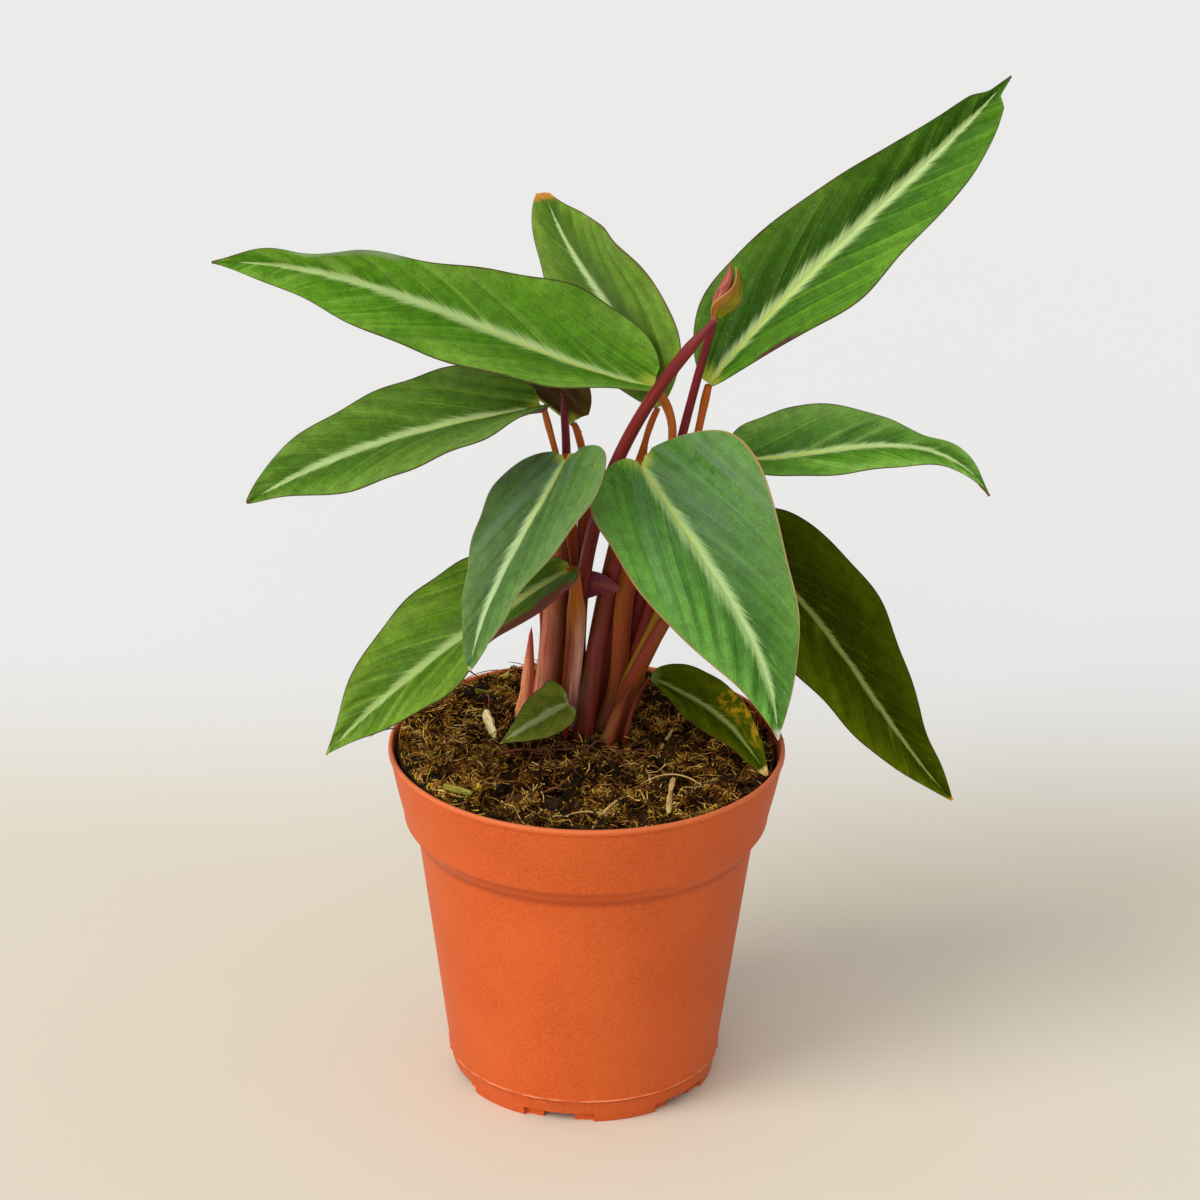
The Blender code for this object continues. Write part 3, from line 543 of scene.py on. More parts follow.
def leaf_top(name, look):
    """The green upper side: a feathered pale midrib, lateral bands with painted highlights on their crests and
    painted shade in their troughs, veins, and a fine margin.
    """
    finish = Finish(f"{name}_upper", 0.42, look.gloss)
    along_mm, across_mm, share = finish.parts(finish.attribute("lay", "Vector"))
    place = finish.attribute("place")
    away = finish.math("ABSOLUTE", across_mm)
    hand = finish.math("SIGN", across_mm)
    reach = finish.math("ABSOLUTE", share)
    slant = finish.math("MULTIPLY_ADD", away, VEIN_CURVE, VEIN_SLANT)
    vein = finish.math("SUBTRACT", along_mm, finish.math("MULTIPLY", away, slant))
    row = finish.math("MULTIPLY_ADD", hand, 9.7, look.seed * 31.0)

    def streaks(fine, drift, shift, detail=2.0):
        """Noise drawn out along the lateral veins."""
        u = finish.math("MULTIPLY", vein, fine)
        w = finish.math("MULTIPLY", away, drift)
        return finish.noise(finish.vector(u, w, finish.math("ADD", row, shift)), 1.0, detail)

    fine = streaks(2.6, 0.10, 0.0, 3.0)
    grain = finish.noise(finish.vector(along_mm, across_mm, look.seed), 2.0, 3.0)
    mottle = finish.noise(finish.vector(along_mm, across_mm, look.seed + 9), 0.32, 3.0, 0.6)
    shade = finish.math("MULTIPLY", finish.smooth(reach, 0.70, 0.08), 0.6)
    # Broad bands along the pleats: a painted highlight on each crest and painted shade in each trough.
    beat = finish.math("MULTIPLY_ADD", vein, 1 / BAND_SPACING, finish.math("MULTIPLY", hand, 0.21))
    beat = finish.math("ADD", beat, finish.math("MULTIPLY", streaks(0.05, 0.02, 17.0), 2.2))
    turn = finish.math("FRACT", beat)
    deep = finish.ramp(turn, [(0.0, (0.0,) * 3), (0.16, (1.0,) * 3), (0.40, (0.55,) * 3), (0.75, (0.0,) * 3)])
    crest_highlight = finish.ramp(turn, [(0.0, (1.0,) * 3), (0.07, (0.4,) * 3), (0.16, (0.0,) * 3),
                               (0.72, (0.0,) * 3), (1.0, (1.0,) * 3)])
    uneven = finish.smooth(streaks(0.10, 0.04, 41.0), 0.40, 0.62, 0.15, 1.0)
    deep = finish.math("MULTIPLY", finish.math("MULTIPLY", deep, uneven), 0.55 * look.bands + 0.1)
    crest_highlight = finish.math("MULTIPLY", finish.math("MULTIPLY", crest_highlight, uneven), 0.62 * look.bands)
    colour = finish.mix(finish.math("MAXIMUM", shade, deep), look.mid, look.dark)
    rim = finish.smooth(reach, 0.40, 1.0, 0.0, 0.60)
    cloud = finish.smooth(finish.noise(finish.vector(along_mm, across_mm, look.seed + 4), 0.055, 2), 0.3, 0.65)
    colour = finish.mix(finish.math("MULTIPLY", rim, cloud), colour, look.light)
    colour = finish.mix(finish.math("MULTIPLY", crest_highlight, finish.smooth(reach, 1.0, 0.75)), colour, look.light)
    ripple = finish.math("PINGPONG", finish.math("MULTIPLY", beat, BAND_SPACING / VEIN_SPACING), 0.5)
    colour = finish.mix(finish.smooth(ripple, 0.0, 0.06, 0.42, 0.0), colour, look.light)
    for pattern, depth in ((fine, 0.15), (grain, 0.20), (mottle, 0.20)):
        colour = finish.mix(1.0, colour, finish.smooth(pattern, 0.25, 0.75, 1 - depth, 1 + depth), "MULTIPLY")
    # Painted light and shade: one half of the blade lightened and the other darkened.
    if look.sides != (1.0, 1.0):
        side_light = finish.smooth(share, -0.12, 0.12, look.sides[0], look.sides[1])
        colour = finish.mix(1.0, colour, side_light, "MULTIPLY")
    # The pale feather along the midrib
    width = finish.ramp(place, [
        (0.0, (0.25,) * 3), (0.08, (0.70,) * 3), (0.30, (1.0,) * 3), (0.62, (0.82,) * 3),
        (0.84, (0.48,) * 3), (0.96, (0.0,) * 3),
    ])
    width = finish.math("MULTIPLY", width, look.stripe)
    barbs = finish.math("MULTIPLY_ADD", streaks(2.2, 0.08, 23.0, 4.0), 2.0, 0.02)
    tufts = finish.math("MULTIPLY_ADD", streaks(0.13, 0.01, 29.0), 1.4, 0.35)
    width = finish.math("MULTIPLY", width, finish.math("MULTIPLY", barbs, tufts))
    ratio = finish.math("DIVIDE", away, finish.math("MAXIMUM", width, 0.001))
    feather = finish.smooth(ratio, 0.30, 1.15, 0.95, 0.0)
    feather = finish.math("MULTIPLY", feather, finish.smooth(fine, 0.2, 0.6, 0.72, 1.0))
    colour = finish.mix(feather, colour, look.pale)
    core = finish.smooth(away, 0.10, 0.65, 0.75, 0.0)
    core = finish.math("MULTIPLY", core, finish.smooth(place, 0.20, 0.55, 1.0, 0.0))
    colour = finish.mix(core, colour, look.core)
    foot = finish.math("MULTIPLY", finish.smooth(place, 0.0, 0.06, 0.75, 0.0), finish.smooth(away, 5.0, 1.5))
    colour = finish.mix(foot, colour, look.core)
    # The margin, the tip and a few specks
    colour = finish.mix(finish.smooth(reach, 0.968, 0.992, 0.0, 0.85), colour, look.edge)
    worn = finish.math("ADD", place, finish.math("MULTIPLY", finish.math("SUBTRACT", fine, 0.5), 0.03))
    colour = finish.mix(finish.smooth(worn, look.tip_start, look.tip_start + 0.02), colour, look.tip)
    dots = finish.cells(finish.vector(along_mm, across_mm, look.seed), 0.5)
    colour = finish.mix(finish.smooth(dots, 0.05, 0.09, 0.40, 0.0), colour, look.pale)
    if name in SPOTS:
        colour = add_spot(finish, colour, share, place, grain, *SPOTS[name])
    # A painted sheen: greyish streaks of reflected light, strongest towards the base.
    if look.painted_sheen:
        painted_sheen = finish.smooth(streaks(0.09, 0.06, 37.0, 3.0), 0.42, 0.72, 0.0, look.painted_sheen)
        painted_sheen = finish.math("MULTIPLY", painted_sheen, finish.smooth(place, 0.75, 0.30))
        colour = finish.mix(painted_sheen, colour, (0.16, 0.25, 0.15))
    finish.colour(colour)
    finish.rough(finish.smooth(fine, 0.2, 0.8, 0.36, 0.52))
    ridge = finish.math("MULTIPLY_ADD", ripple, 0.6, finish.math("MULTIPLY", fine, 0.55))
    finish.relief(ridge, 0.45, 0.0004)
    return finish.made


# Marks on single blades: the share across between which they lie, the places along, the roughness of their
# outline, and the colour. The pale strip on leaf_01 is a painted highlight along its folded upper margin.
SPOTS = {
    # A painted highlight along the folded upper margin.
    "leaf_01": ((0.80, 0.93), (0.60, 0.64, 0.80, 0.86), 0.0, (0.24, 0.33, 0.16)),
    "leaf_03": ((0.86, 0.90), (0.11, 0.14, 0.21, 0.25), 0.0, (0.085, 0.010, 0.026)),
    "leaf_10": ((-0.58, -0.66), (0.04, 0.08, 0.34, 0.42), 0.0, (0.30, 0.034, 0.030)),
    "leaf_13": ((-0.20, -0.50), (0.36, 0.46, 0.76, 0.86), 1.0, (0.42, 0.24, 0.010)),
}


def add_spot(finish, colour, share, place, grain, across, along_places, ragged, paint):
    zone = finish.smooth(share, across[0], across[1])
    zone = finish.math("MULTIPLY", zone, finish.smooth(place, along_places[0], along_places[1]))
    zone = finish.math("MULTIPLY", zone, finish.smooth(place, along_places[3], along_places[2]))
    if ragged:
        blot = finish.noise(finish.vector(share, finish.math("MULTIPLY", place, 5.0), 1.0), 3.5, 2.0)
        zone = finish.math("MULTIPLY", zone, finish.smooth(blot, 0.42, 0.60))
        zone = finish.math("MULTIPLY", zone, finish.smooth(grain, 0.35, 0.5, 0.4, 1.0))
    return finish.mix(finish.math("MULTIPLY", zone, 0.85), colour, paint)


def leaf_under(name, deep, bright):
    """The wine-red underside, with its raised veins a little paler."""
    finish = Finish(f"{name}_under", 0.46, 0.3)
    along_mm, across_mm, share = finish.parts(finish.attribute("lay", "Vector"))
    away = finish.math("ABSOLUTE", across_mm)
    slant = finish.math("MULTIPLY_ADD", away, VEIN_CURVE, VEIN_SLANT)
    vein = finish.math("SUBTRACT", along_mm, finish.math("MULTIPLY", away, slant))
    streak = finish.noise(finish.vector(finish.math("MULTIPLY", vein, 1.4),
                                        finish.math("MULTIPLY", away, 0.1), 2.0), 1.0, 3.0)
    colour = finish.mix(finish.smooth(streak, 0.3, 0.7), deep, bright)
    rib = finish.smooth(away, 0.4, 1.4, 0.55, 0.0)
    colour = finish.mix(rib, colour, (0.30, 0.10, 0.07))
    finish.colour(colour)
    finish.relief(streak, 0.3, 0.0003)
    return finish.made


# Each look: low left, low right, left, right and top. Salmon's bright left side is painted light, and umber's pale
# right side is a painted highlight.
STALK_LOOKS = {
    "amber": ((0.13, 0.028, 0.004), (0.14, 0.024, 0.006), (0.40, 0.095, 0.008), (0.26, 0.045, 0.008),
              (0.46, 0.12, 0.010)),
    "wine": ((0.12, 0.022, 0.004), (0.10, 0.016, 0.004), (0.20, 0.024, 0.013), (0.22, 0.028, 0.010),
             (0.44, 0.10, 0.010)),
    "olive": ((0.18, 0.042, 0.003), (0.13, 0.028, 0.004), (0.33, 0.17, 0.005), (0.28, 0.10, 0.006),
              (0.44, 0.12, 0.010)),
    "salmon": ((0.84, 0.30, 0.19), (0.20, 0.040, 0.005), (0.74, 0.24, 0.14), (0.12, 0.026, 0.004),
               (0.34, 0.065, 0.014)),
    "bark": ((0.075, 0.015, 0.002), (0.11, 0.014, 0.004), (0.12, 0.024, 0.002), (0.19, 0.022, 0.012),
             (0.28, 0.055, 0.006)),
    "umber": ((0.11, 0.018, 0.003), (0.56, 0.25, 0.18), (0.18, 0.033, 0.003), (0.74, 0.36, 0.27),
              (0.40, 0.12, 0.008)),
    "rose": ((0.18, 0.034, 0.008), (0.14, 0.028, 0.008), (0.26, 0.042, 0.014), (0.27, 0.060, 0.012),
             (0.16, 0.017, 0.014)),
    "crimson": ((0.14, 0.018, 0.009), (0.09, 0.013, 0.006), (0.21, 0.027, 0.016), (0.11, 0.011, 0.008),
                (0.155, 0.013, 0.012)),
    "furled": ((0.12, 0.020, 0.005), (0.10, 0.014, 0.005), (0.21, 0.022, 0.015), (0.13, 0.014, 0.010),
               (0.15, 0.010, 0.017)),
    "plum": ((0.14, 0.016, 0.014), (0.09, 0.009, 0.010), (0.15, 0.012, 0.018), (0.10, 0.008, 0.015),
             (0.11, 0.008, 0.015)),
    "shoot": ((0.90, 0.36, 0.13), (0.74, 0.24, 0.09), (0.90, 0.34, 0.15), (0.70, 0.20, 0.09),
              (0.60, 0.12, 0.060)),
    "moss": ((0.050, 0.055, 0.005), (0.13, 0.036, 0.007), (0.24, 0.085, 0.018), (0.27, 0.070, 0.020),
             (0.15, 0.026, 0.008)),
}


def stalk_finish(name, look):
    """A satin stalk: its colours run from left to right and from foot to top, with fine streaks. Left and right
    are partly the strands' own colours and partly painted light.
    """
    finish = Finish(f"{name}_skin", 0.34, 0.18)
    around_x, around_y, along_mm = finish.parts(finish.attribute("lay", "Vector"))
    place = finish.attribute("place")
    low_left, low_right, left, right, top = STALK_LOOKS[look]
    streak = finish.noise(finish.vector(finish.math("MULTIPLY", around_x, 5.0),
                                        finish.math("MULTIPLY", around_y, 5.0),
                                        finish.math("MULTIPLY", along_mm, 0.04)), 1.0, 4.0, 0.6)
    drift = finish.math("MULTIPLY_ADD", streak, 0.9, around_x)
    across = finish.smooth(drift, -0.25, 1.15)
    low = finish.mix(across, low_left, low_right)
    middle = finish.mix(across, left, right)
    colour = finish.mix(finish.smooth(place, 0.02, 0.30), low, middle)
    colour = finish.mix(finish.smooth(place, 0.52, 0.86), colour, top)
    patch = finish.noise(finish.vector(around_x, around_y, finish.math("MULTIPLY", along_mm, 0.045)), 1.3)
    colour = finish.mix(finish.smooth(patch, 0.50, 0.68, 0.0, 0.35), colour, (0.32, 0.030, 0.040))
    colour = finish.mix(finish.smooth(patch, 0.46, 0.30, 0.0, 0.35), colour, (0.14, 0.045, 0.004))
    colour = finish.mix(1.0, colour, finish.smooth(streak, 0.25, 0.75, 0.62, 1.30), "MULTIPLY")
    finish.colour(colour)
    finish.rough(finish.smooth(streak, 0.3, 0.7, 0.30, 0.48))
    finish.relief(streak, 0.4, 0.0003)
    return finish.made


# Curves and surfaces


def along(points, places):
    """Points on one smooth curve through the given points, at places from 0 at its start to 1 at its end."""
    points = np.array(points, float)
    steps = np.linalg.norm(np.diff(points, axis=0), axis=1)
    knots = np.concatenate([[0], np.cumsum(steps)]) / steps.sum()
    found = np.zeros((len(places), 3))
    for i, point in enumerate(points):
        weight = np.ones(len(places))
        for j, knot in enumerate(knots):
            if j != i:
                weight *= (places - knot) / (knots[i] - knot)
        found += weight[:, None] * point
    return found


def unit(vectors):
    return vectors / np.linalg.norm(vectors, axis=-1, keepdims=True)


def smooth_step(values, low, high):
    share = np.clip((values - low) / (high - low), 0, 1)
    return share * share * (3 - 2 * share)


def directions(points, places):
    step = 0.001
    return unit(along(points, places + step) - along(points, places - step))


def eased(values, places):
    """Values given at EDGE_PLACES, joined by a smooth curve."""
    knots = np.array(EDGE_PLACES, float)
    values = np.array(values, float)
    slopes = np.gradient(values, knots)
    found = np.clip(np.searchsorted(knots, places, side="right") - 1, 0, len(knots) - 2)
    span = knots[found + 1] - knots[found]
    t = (places - knots[found]) / span
    start = (2 * t**3 - 3 * t**2 + 1) * values[found] + (t**3 - 2 * t**2 + t) * span * slopes[found]
    end = (3 * t**2 - 2 * t**3) * values[found + 1] + (t**3 - t**2) * span * slopes[found + 1]
    return start + end


def put_mesh(name, points, faces, finishes, face_finish=None, marks=None):
    """A piece made of points in millimetres, with its finishes and its own marks."""
    mesh = bpy.data.meshes.new(name)
    mesh.from_pydata((np.asarray(points) * MM).tolist(), [], faces)
    for finish in finishes:
        mesh.materials.append(finish)
    if face_finish is not None:
        mesh.polygons.foreach_set("material_index", face_finish)
    for mark, values in (marks or {}).items():
        values = np.asarray(values, np.float32)
        kind = "FLOAT_VECTOR" if values.ndim == 2 else "FLOAT"
        attribute = mesh.attributes.new(mark, kind, "POINT")
        field = "vector" if values.ndim == 2 else "value"
        attribute.data.foreach_set(field, values.ravel())
    mesh.shade_smooth()
    mesh.update()
    item = bpy.data.objects.new(name, mesh)
    bpy.context.scene.collection.objects.link(item)
    return item


def keep(item, slot, *nodes):
    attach(item, "root")
    if nodes:
        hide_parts(*nodes)


def blade_sheet(blade, rows, columns):
    """The blade's middle surface: points, and the distances along and across it for its markings."""
    spread = np.linspace(0, 1, rows)
    places = 0.003 + (blade.end - 0.003) * (0.5 - 0.5 * np.cos(np.pi * spread))
    middle = along(blade.line, places)
    ahead = directions(blade.line, places)
    front = np.array([0.0, -1.0, 0.0])
    facing = unit(front - (ahead @ front)[:, None] * ahead)
    rising = np.cross(ahead, facing)
    turn = np.radians(blade.turn[0] + (blade.turn[1] - blade.turn[0]) * places)[:, None]
    normal = facing * np.cos(turn) + rising * np.sin(turn)
    side = np.cross(ahead, normal)
    widest = blade.blunt / (blade.blunt + blade.taper)
    width = places**blade.blunt * (1 - places) ** blade.taper
    width = width / (widest**blade.blunt * (1 - widest) ** blade.taper)
    lean = blade.lean[0] + (blade.lean[1] - blade.lean[0]) * places
    length = np.concatenate([[0], np.cumsum(np.linalg.norm(np.diff(middle, axis=0), axis=1))])
    spots = np.linspace(-1, 1, columns)
    spots = np.sign(spots) * np.abs(spots) ** 1.25
    points = np.zeros((rows, columns, 3))
    lay = np.zeros((rows, columns, 3))
    for column, across in enumerate(spots):
        reach = abs(across)
        hand = math.copysign(1, across)
        half = blade.half * width * (1 + hand * lean)
        half = half * eased(blade.left if hand < 0 else blade.right, places)
        for nick_side, nick_place, depth, nick_length in blade.nicks:
            if nick_side == hand:
                half = half * (1 - depth * np.exp(-(((places - nick_place) / nick_length) ** 2)))
        if blade.tail:
            narrow = blade.tail[1] if hand < 0 else blade.tail[2]
            start = blade.tail[0] - (0.045 if hand < 0 else 0.012)
            half = half * (1 - (1 - narrow) * smooth_step(places, start, blade.tail[0] + 0.002))
        opened = np.zeros(rows)
        if blade.relax and blade.relax[0] == hand:
            opened = blade.relax[1] * smooth_step(places, 0.42, 0.15)
        steps = (np.arange(8) + 0.5) / 8 * reach
        angles = np.radians(blade.fold - opened[:, None] - blade.droop * steps)
        out = np.cos(angles).sum(axis=1) * reach / 8
        up = np.sin(angles).sum(axis=1) * reach / 8
        wave = np.sin(2 * np.pi * (RIPPLES * places + 0.25 * hand))
        lift = blade.ripple * wave * reach**3 * np.sin(np.pi * places) ** 0.5
        back = blade.lobe * (1 - places) ** 3 * reach**1.5
        points[:, column] = middle + side * (hand * half * out)[:, None]
        points[:, column] += normal * (half * up + lift)[:, None] - ahead * back[:, None]
        lay[:, column] = np.stack([length, half * across, np.full(rows, across)], axis=1)
    return points, normal, lay, places


def make_blade(name, blade, look, under, rows=112, columns=45):
    """A closed blade: pleated along its lateral veins, grooved over the midrib and ribbed under it."""
    points, normal, lay, places = blade_sheet(blade, rows, columns)
    down_rows = np.gradient(points, axis=0)
    over_columns = np.gradient(points, axis=1)
    outward = unit(np.cross(over_columns, down_rows))
    away = np.abs(lay[..., 1])
    reach = np.abs(lay[..., 2])
    vein = lay[..., 0] - away * (VEIN_SLANT + VEIN_CURVE * away)
    size = blade.half / 18
    pleat = 0.13 * size * np.cos(2 * np.pi * vein / VEIN_SPACING + 1.3 * np.sign(lay[..., 1]))
    pleat *= np.clip(reach * 3, 0, 1) * np.clip((1 - reach) * 3, 0, 1)
    slow = 0.42 * size * np.cos(2 * np.pi * vein / BAND_SPACING + look.seed)
    pleat += slow * np.clip(reach * 2, 0, 1) * np.clip((1 - reach) * 2.5, 0, 1)
    fade = (1 - places[:, None]) ** 0.6
    groove = 0.30 * size * np.exp(-((away / 0.8) ** 2)) * fade
    rib = 0.75 * size * np.exp(-((away / 0.75) ** 2)) * fade
    thick = 0.26 - 0.14 * reach**3
    upper = points + outward * (pleat + thick - groove)[..., None]
    lower = points + outward * (pleat - thick - rib)[..., None]
    count = rows * columns
    grid = np.arange(count).reshape(rows, columns)
    a, b, c, d = grid[:-1, :-1], grid[:-1, 1:], grid[1:, 1:], grid[1:, :-1]
    top_faces = np.stack([a, b, c, d], axis=-1).reshape(-1, 4)
    low_faces = np.stack([a, d, c, b], axis=-1).reshape(-1, 4) + count
    rim = np.concatenate([grid[0, :-1], grid[:-1, -1], grid[-1, :0:-1], grid[:0:-1, 0]])
    after = np.roll(rim, -1)
    rim_faces = np.stack([after, rim, rim + count, after + count], axis=-1)
    faces = np.concatenate([top_faces, low_faces, rim_faces])
    finish = np.zeros(len(faces), int)
    finish[len(top_faces):len(top_faces) + len(low_faces)] = 1
    marks = {
        "lay": np.concatenate([lay.reshape(-1, 3)] * 2),
        "place": np.tile(np.repeat(places, columns), 2),
    }
    both = np.concatenate([upper.reshape(-1, 3), lower.reshape(-1, 3)])
    finishes = [leaf_top(name, look), under]
    if name in TURNED:
        finishes.reverse()
    item = put_mesh(f"{name}_surface", both, faces.tolist(), finishes, finish, marks)
    item.data.set_sharp_from_angle(angle=math.radians(60))
    return item


def make_tube(name, line, radii, sides, flats, finish, seam=0.0, twist=0.0, foot=None, crown=None):
    """A closed tube of ovals along a curve.

    seam is the step where the sheath's edge laps over itself, as a share of the radius, and twist turns
    it on its way up, in turns. foot and crown are points before the first and after the last row.
    """
    rows = len(radii)
    places = np.linspace(0, 1, rows)
    middle = along(line, places)
    ahead = directions(line, places)
    if foot is not None:
        middle = np.concatenate([[foot], middle])
        ahead = np.concatenate([[(0.0, 0.0, 1.0)], ahead])
        radii = np.concatenate([radii[:1], radii])
        flats = np.concatenate([flats[:1], flats])
        places = np.concatenate([[0.0], places])
    if crown is not None:
        middle = np.concatenate([middle, [crown]])
        ahead = np.concatenate([ahead, ahead[-1:]])
        radii = np.concatenate([radii, radii[-1:] * 0.9])
        flats = np.concatenate([flats, flats[-1:]])
        places = np.concatenate([places, [1.0]])
    rows = len(radii)
    wide = unit(np.cross(np.array([0.0, 1.0, 0.0]), ahead))
    deep = np.cross(ahead, wide)
    length = np.concatenate([[0], np.cumsum(np.linalg.norm(np.diff(middle, axis=0), axis=1))])
    share = np.arange(sides) / sides
    points = np.zeros((rows, sides, 3))
    lay = np.zeros((rows, sides, 3))
    for row in range(rows):
        angle = 2 * np.pi * (share + 0.30 + twist * places[row])
        lap = 1 + seam * (share - 0.5) * math.sin(math.pi * min(1, 0.15 + places[row]))
        across = np.cos(angle) * lap
        behind = np.sin(angle) * lap * flats[row]
        points[row] = middle[row] + radii[row] * (across[:, None] * wide[row] + behind[:, None] * deep[row])
        lay[row] = np.stack([np.cos(angle), np.sin(angle), np.full(sides, length[row])], axis=1)
    count = rows * sides
    grid = np.arange(count).reshape(rows, sides)
    turned = np.roll(grid, -1, axis=1)
    faces = np.stack([grid[:-1], turned[:-1], turned[1:], grid[1:]], axis=-1).reshape(-1, 4).tolist()
    bottom = [(count, turned[0][i], grid[0][i]) for i in range(sides)]
    top = [(count + 1, grid[-1][i], turned[-1][i]) for i in range(sides)]
    ends = np.array([middle[0], middle[-1]])
    both = np.concatenate([points.reshape(-1, 3), ends])
    marks = {
        "lay": np.concatenate([lay.reshape(-1, 3), [(0, 0, 0), (0, 0, length[-1])]]),
        "place": np.concatenate([np.repeat(places, sides), [0, 1]]),
    }
    item = put_mesh(name, both, faces + bottom + top, [finish], None, marks)
    item.data.set_sharp_from_angle(angle=math.radians(50))
    return item


def make_stalk(name, stalk):
    """A stalk with a lapped sheath below and, under its blade, the slightly swollen joint."""
    rows = 56
    places = np.linspace(0, 1, rows)
    radii = stalk.top + (stalk.foot - stalk.top) * (1 - places) ** stalk.ease
    flats = 1 + (stalk.flat - 1) * (1 - places)
    low, high, end = stalk.sheath
    if end:
        clasp = np.maximum(low + (high - low) * np.minimum(places / end, 1), radii)
        clasp = radii + (clasp - radii) * smooth_step(places, end + 0.12, end - 0.06)
        flats = flats * radii / clasp
        radii = clasp
    leaf = BLADES.get(name.replace("_stalk", ""))
    crown = None
    if leaf:
        crown = np.array(leaf.line[0], float)
        height = stalk.line[-1][2] - stalk.line[0][2]
        joint = (places - 1) * height
        radii = radii * (1 + 0.16 * np.exp(-(((joint + 4.0) / 3.0) ** 2)))
    else:
        radii = radii * np.clip((1 - places) * 14, 0.25, 1) ** 0.5
    foot = np.array(stalk.line[0], float)
    foot[2] = 86.0
    finish = stalk_finish(name, stalk.look)
    seam = 0.20 if leaf else 0.30
    twist = 0.1 if leaf else 0.45
    return make_tube(name + "_skin", stalk.line, radii, 22, flats, finish, seam, twist, foot, crown)


def soil_height(x, y):
    """The soil's surface, as in the source, with clods and pits, and banked up at the left and the back."""
    clods = 0.55 * math.sin(0.31 * x + 0.9) * math.cos(0.27 * y - 0.4)
    clods += 0.45 * math.sin(0.53 * x - 0.41 * y + 1.7)
    clods += 0.35 * math.sin(0.37 * x + 0.72 * y)
    reach = math.hypot(x - CLUMP[0], y - CLUMP[1]) / MOUND_RADIUS
    lumps = 2.6 * noise.fractal(Vector((x, y, 0)) * 0.15, 0.8, 2.1, 4)
    lumps -= 3.6 * min(max(noise.noise(Vector((x, y, 3)) * 0.21) * 3 - 0.35, 0), 1)
    crumbs = 0.7 * noise.noise(Vector((x, y, 7)) * 0.55) + 0.35 * noise.noise(Vector((x, y, 7)) * 1.3)
    edge = min(max((math.hypot(x, y) - 22) / 24, 0), 1)
    direction = math.atan2(y, x)
    bank = 0.5 + 0.5 * math.cos(direction - BANK_DIRECTION)
    rise = edge * edge * (0.3 + BANK_HEIGHT * bank)
    return SOIL_LEVEL + clods + MOUND_HEIGHT * math.exp(-reach * reach) + lumps + crumbs + rise


def soil_finish():
    finish = Finish("soil", 0.95, 0.15)
    place = finish.place()
    coarse = finish.noise(place, 150, 4, 0.6)
    small = finish.noise(place, 900, 4, 0.65)
    colour = finish.ramp(coarse, [
        (0.28, (0.004, 0.002, 0.001)), (0.45, (0.014, 0.006, 0.002)), (0.60, (0.050, 0.022, 0.005)),
        (0.78, (0.060, 0.040, 0.006)),
    ])
    colour = finish.mix(finish.smooth(small, 0.50, 0.80, 0.0, 0.5), colour, (0.16, 0.07, 0.015))
    finish.colour(colour)
    finish.relief(small, 1.0, 0.0015)
    return finish.made


def make_soil():
    """The soil's closed body with its rough top, and a loose copy of the top to grow fibres from."""
    points = [(0, 0, soil_height(0, 0))]
    for ring in range(1, SOIL_RINGS + 1):
        radius = SOIL_EDGE_RADIUS * ring / SOIL_RINGS
        for step in range(SOIL_STEPS):
            angle = 2 * math.pi * step / SOIL_STEPS
            x = radius * math.cos(angle)
            y = radius * math.sin(angle)
            height = soil_height(x, y)
            points.append((x, y, min(height, 95.0)))
    top_count = len(points)
    for radius, height in ((50.0, 89.0), (46.4, 75.0), (43.0, 68.0), (34.8, 7.2), (33.2, 4.6)):
        for step in range(SOIL_STEPS):
            angle = 2 * math.pi * step / SOIL_STEPS
            points.append((radius * math.cos(angle), radius * math.sin(angle), height))
    points.append((0, 0, 4.6))
    faces = []
    for step in range(SOIL_STEPS):
        following = (step + 1) % SOIL_STEPS
        faces.append((0, 1 + step, 1 + following))
    rings = SOIL_RINGS + 4
    for ring in range(rings):
        start = 1 + ring * SOIL_STEPS
        for step in range(SOIL_STEPS):
            following = (step + 1) % SOIL_STEPS
            faces.append((start + step, start + SOIL_STEPS + step, start + SOIL_STEPS + following,
                          start + following))
        if ring == SOIL_RINGS - 2:
            top_faces = list(faces)
    last = 1 + rings * SOIL_STEPS
    for step in range(SOIL_STEPS):
        following = (step + 1) % SOIL_STEPS
        faces.append((len(points) - 1, last + following, last + step))
    bed = put_mesh("soil_bed", points, faces, [soil_finish()])
    bed.data.set_sharp_from_angle(angle=math.radians(70))
    seed_mesh = bpy.data.meshes.new("fibre_ground")
    seed_mesh.from_pydata((np.array(points[:top_count]) * MM).tolist(), [], top_faces)
    ground = bpy.data.objects.new("fibre_ground", seed_mesh)
    bpy.context.scene.collection.objects.link(ground)
    return bed, ground


def fibre_finish(name, stops):
    """Fibres whose tone differs from one to the next and from one clod to the next, with painted light making them
    palest at the left.
    """
    finish = Finish(name, 0.8, 0.06)
    place = finish.place()
    clod = finish.smooth(finish.noise(place, 150, 2), 0.38, 0.62)
    tone = finish.math("MULTIPLY_ADD", finish.attribute("tone"), 0.65, -0.14)
    tone = finish.math("MULTIPLY_ADD", clod, 0.62, tone)
    # Painted light: the fibres lightened towards the left.
    left = finish.smooth(finish.parts(place)[0], -0.012, -0.042, 0.0, 0.22)
    colour = finish.ramp(finish.math("ADD", tone, left), stops)
    fleck = finish.noise(place, 700, 3)
    colour = finish.mix(finish.smooth(fleck, 0.4, 0.7, 0.0, 0.4), colour, (0.03, 0.012, 0.004))
    finish.colour(colour)
    return finish.made


